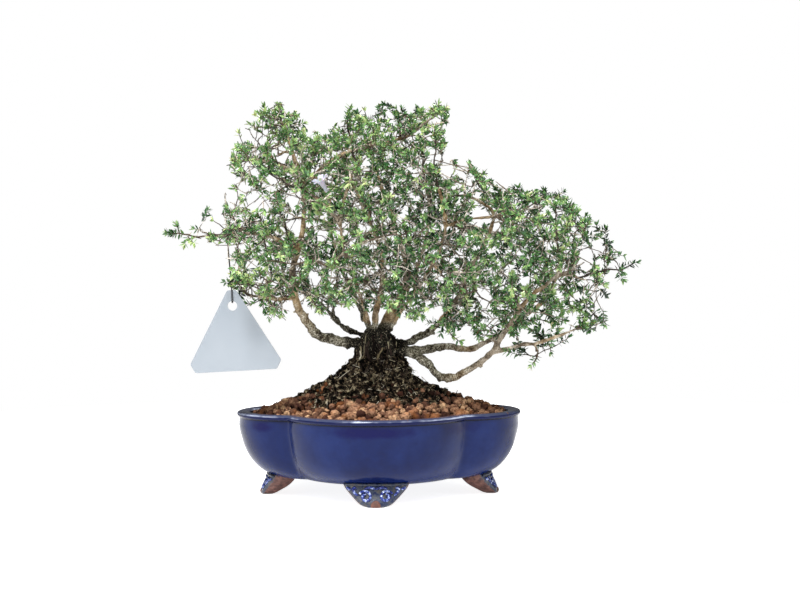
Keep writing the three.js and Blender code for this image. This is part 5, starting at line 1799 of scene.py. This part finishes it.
def behind_bloom():
    """Ends of shoots close behind the bloom, which stands out against their leaves."""
    draw = seeded(7717)
    return [BLOOM + (mix(-16, 16, draw()), mix(14, 40, draw()), mix(-16, 14, draw()))
            for _ in range(BEHIND_BLOOM)]


def limb_tufts(middles):
    """Short leafy side shoots straight from the limbs, kept with the spray that each is in."""
    draw = seeded(9091)
    tufts = [([], []) for _ in middles]
    paths = [smooth_path(points, 4) for _, _, points in LIMBS.values()]
    starts = [row[0] for row in LIMBS.values()]
    for _ in range(LIMB_TUFTS):
        n = int(draw() * len(paths))
        path = paths[n]
        k = 1 + int(draw() * (len(path) - 2))
        along = unit(path[k + 1] - path[k - 1])
        out = unit(np.cross(along, any_way(draw)))
        heading = unit(out + along * mix(0, 0.9, draw()))
        tip = path[k] + heading * (starts[n] + mix(5, 13, draw()))
        tone = tone_with_painted_light(tip, draw)
        leafy = draw() < (0.75 if path[k][0] > 85 else 0.35)
        hidden = in_leaf_gap(tip) or not in_view_of_crown(tip) or hides_bloom(tip)
        if path[k][2] < TUFTS_FROM or hidden:
            continue
        twigs, leaves = tufts[nearest(middles, tip)]
        twigs += crooked_twig(path[k], tip, mix(0.4, 0.7, draw()), draw)
        if leafy:
            add_leaves(leaves, path[k], tip, 0.6, tone, draw)
    for path in paths:
        along = unit(path[-1] - path[-2])
        for _ in range(END_TUFTS):
            side = any_way(draw)
            tip = path[-1] + mix(5, 11, draw()) * unit(along + 1.3 * side)
            twigs, leaves = tufts[nearest(middles, tip)]
            twigs += crooked_twig(path[-1] - along, tip, 0.7, draw)
            add_leaves(leaves, path[-1], tip, 0.3, tone_with_painted_light(tip, draw), draw)
    return tufts


def inside_box(matrix, low, high):
    tip = matrix[:3, 3] + matrix[:3, 0]
    return bool((tip > low).all() and (tip < high).all())


def obstacles():
    """What the leaves keep clear of besides the wood: the bloom, the wire and the label's edges."""
    foot = BLOOM - BLOOM_AXIS * (FUNNEL_LENGTH + CALYX_LENGTH)
    kept = stretches_of([foot, BLOOM + 4 * BLOOM_AXIS], [2, 9])
    route = [np.array(p, float) for p in WIRE_ROUTE]
    kept += stretches_of(route, [1.2] * len(route))
    corners = [np.array(LABEL_HOLE) + (LABEL_OUTLINE[k][0], 0, LABEL_OUTLINE[k][1])
               for k in (1, 3, 5)]
    for a, b in zip(corners, corners[1:] + corners[:1]):
        kept += stretches_of([a, b], [3, 3])
    return kept


def make_foliage(middles, known, others, wood, branches):
    """One piece of leaves for each spray, and the fine twigs of them all."""
    leaf_mesh, twig_mesh = leaf_template(), twig_template()
    back = np.array(PLACE.inverted())
    low, high = (back[:3, :3] @ np.array(c) + back[:3, 3] for c in cad_box)
    reach = LEAF_REACH * (high - low)
    tufts = limb_tufts(middles)
    all_twigs = []
    for i in range(len(middles)):
        draw = seeded(500 + 37 * i)
        shoots = grow_shoots(i, middles, known[i], others[i], branches[i], wood + obstacles())
        start = branches[i]["ends"][2]
        extra = [p for p in LOW_SPRIGS if nearest(middles, p) == i]
        behind = [p for p in behind_bloom() if nearest(middles, p) == i]
        twigs, leaves = fill_spray(shoots, known[i], [*others[i], *behind], extra, start, draw)
        twigs += tufts[i][0]
        leaves += tufts[i][1]
        leaves = [row for row in leaves if inside_box(row[0], low - reach, high + reach)]
        all_twigs += twigs
        name = f"spray_{i + 1:02d}"
        seated(f"{name}_leaves", copies(leaf_mesh, leaves), LEAF, [name], smooth=False)
    seated("twigs", copies(twig_mesh, all_twigs), TWIG)


# ------------------------------------------------ flower
def bloom_matrix():
    axis = Vector(BLOOM_AXIS)
    side = Vector((1, 0, 0)) - axis.x * axis
    side.normalize()
    return Matrix.Translation(Vector(BLOOM)) @ along_axes(side, axis.cross(side), axis)


def spun(profile, steps):
    """A closed body: a profile of (radius, z) turned full round the Z axis."""
    bm = bmesh.new()
    verts = [bm.verts.new((radius, 0, z)) for radius, z in profile]
    edges = [bm.edges.new(pair) for pair in zip(verts, verts[1:])]
    bmesh.ops.spin(bm, geom=verts + edges, cent=(0, 0, 0), axis=(0, 0, 1), angle=2 * math.pi,
                   steps=steps, use_merge=True)
    bmesh.ops.remove_doubles(bm, verts=bm.verts[:], dist=1e-4)
    face_outwards(bm)
    return bm


def add_petal(bm, turn):
    """A petal with a shallow cup, a wavy edge and a small point, folded back at its tip."""
    made = bmesh.ops.create_grid(bm, x_segments=8, y_segments=6, size=1)
    for v in made["verts"]:
        along, across = (v.co.x + 1) / 2, v.co.y
        width = mix(2.0, 2.75, min(1, 1.6 * along)) * math.sqrt(max(0, 1 - along ** 3.2)) + 0.12
        wave = 0.3 * math.sin(5 * across + turn) * along
        v.co = Vector((2.6 + 3.6 * along, 0.85 * width * across,
                       -0.9 + 3.2 * along + 0.4 * across ** 2 - 1.5 * along ** 3 + wave))
    bmesh.ops.transform(bm, matrix=Matrix.Rotation(turn, 4, "Z"), verts=made["verts"])


# (radius, z) from the bloom's middle, up the outside and down the inside
TUBE_PROFILE = [
    (0, -10), (1.1, -10), (1.35, -6.5), (1.9, -3.6), (2.8, -1.4), (3.4, -0.5), (3.3, -0.2),
    (2.2, -1.6), (1.2, -3.6), (0.7, -5), (0, -5.3),
]
CALYX_PROFILE = [(0, -13.3), (0.6, -13.3), (1.3, -12.2), (1.65, -10.9), (1.45, -10.4), (0, -10.5)]
STAMEN_TONE = 0.95
CALYX_TONE = 0.5


def make_flower():
    bm = bmesh.new()
    for k in range(PETALS):
        add_petal(bm, 2 * math.pi * k / PETALS + 0.3)
    bmesh.ops.solidify(bm, geom=bm.faces[:], thickness=0.3)
    bm.from_mesh(mesh_of(spun(TUBE_PROFILE, 24), "tube"))
    move_all(bm, bloom_matrix())
    seated("flower_corolla", bm, PETAL, ["flower"])


def make_stamens():
    """Five short stamens and the style in the throat."""
    bm = bmesh.new()
    for k in range(PETALS + 1):
        angle = 2 * math.pi * k / PETALS
        reach = 0.9 if k < PETALS else 0
        foot = Vector((0.3 * math.cos(angle), 0.3 * math.sin(angle), -4))
        head = Vector((reach * math.cos(angle), reach * math.sin(angle), 0.4 if reach else 1.4))
        sweep(bm, [foot, (foot + head) / 2, head], [0.12, 0.12, 0.14], 6)
        bmesh.ops.create_icosphere(bm, subdivisions=2, radius=0.34, matrix=Matrix.Translation(head))
    face_outwards(bm)
    move_all(bm, bloom_matrix())
    give_tone(bm, STAMEN_TONE)
    seated("flower_stamens", bm, LEAF)


def make_calyx():
    bm = spun(CALYX_PROFILE, 20)
    move_all(bm, bloom_matrix())
    give_tone(bm, CALYX_TONE)
    seated("flower_calyx", bm, LEAF, ["calyx"])


# ------------------------------------------------ label, wire and drain meshes
def make_label():
    """The plate, its corners and edges eased, with its round hole."""
    bm = bmesh.new()
    outer = outline_loop(bm, [Vector((u, 0, v)) for u, v in LABEL_OUTLINE])
    corners = list(dict.fromkeys(v for e in outer for v in e.verts))
    bmesh.ops.bevel(bm, geom=corners, offset=LABEL_CORNER, segments=4, profile=0.5,
                    affect="VERTICES", material=-1)
    outer = bm.edges[:]
    hole = bmesh.ops.create_circle(bm, segments=40, radius=LABEL_HOLE_RADIUS,
                                   matrix=Matrix.Rotation(math.pi / 2, 4, "X"))
    inner = list(dict.fromkeys(e for v in hole["verts"] for e in v.link_edges))
    bmesh.ops.triangle_fill(bm, edges=outer + inner, use_beauty=True)
    front = bmesh.ops.extrude_face_region(bm, geom=bm.faces[:])["geom"]
    verts = [g for g in front if isinstance(g, bmesh.types.BMVert)]
    bmesh.ops.translate(bm, vec=(0, LABEL_THICKNESS, 0), verts=verts)
    face_outwards(bm)
    rims = [e for e in bm.edges if e.calc_face_angle(0) > 1]
    bmesh.ops.bevel(bm, geom=rims, offset=LABEL_EDGE, segments=2, profile=0.5, affect="EDGES",
                    material=-1)
    place = Matrix.Translation(Vector(LABEL_HOLE) - Vector((0, LABEL_THICKNESS / 2, 0)))
    move_all(bm, place @ Matrix.Rotation(-LABEL_TILT, 4, "Y"))
    seated("label_plate", bm, LABEL, ["label"], smooth=False)


def make_wire():
    bm = bmesh.new()
    path = smooth_path(WIRE_ROUTE, 5)
    sweep(bm, path, [WIRE_RADIUS] * len(path), 10)
    face_outwards(bm)
    seated("wire_hook", bm, WIRE, ["label_wire"])


def dress_drain_meshes():
    finish = drain_plastic()
    for name in ("drain_mesh_left", "drain_mesh_right"):
        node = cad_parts[name]
        node.data.materials.clear()
        node.data.materials.append(finish)


# ------------------------------------------------ the whole
make_camera()
make_floor()
make_light()
make_pot()
make_feet()
make_soil()
make_grains()
make_mound()
make_fibres()
make_crumbs("mound_crumbs", CRUMB_COUNT, 0.97, ROOTS)
make_crumbs("mound_grains", STRAY_GRAINS, 0.4, GRAINS_FINISH)
crown_middles, known_tips, crown_shares = share_crown()
wood, branches, stalk = grow_wood(crown_middles)
make_tree(branches, stalk)
make_stump_roots()
make_foliage(crown_middles, known_tips, crown_shares, wood, branches)
make_flower()
make_stamens()
make_calyx()
make_label()
make_wire()
dress_drain_meshes()
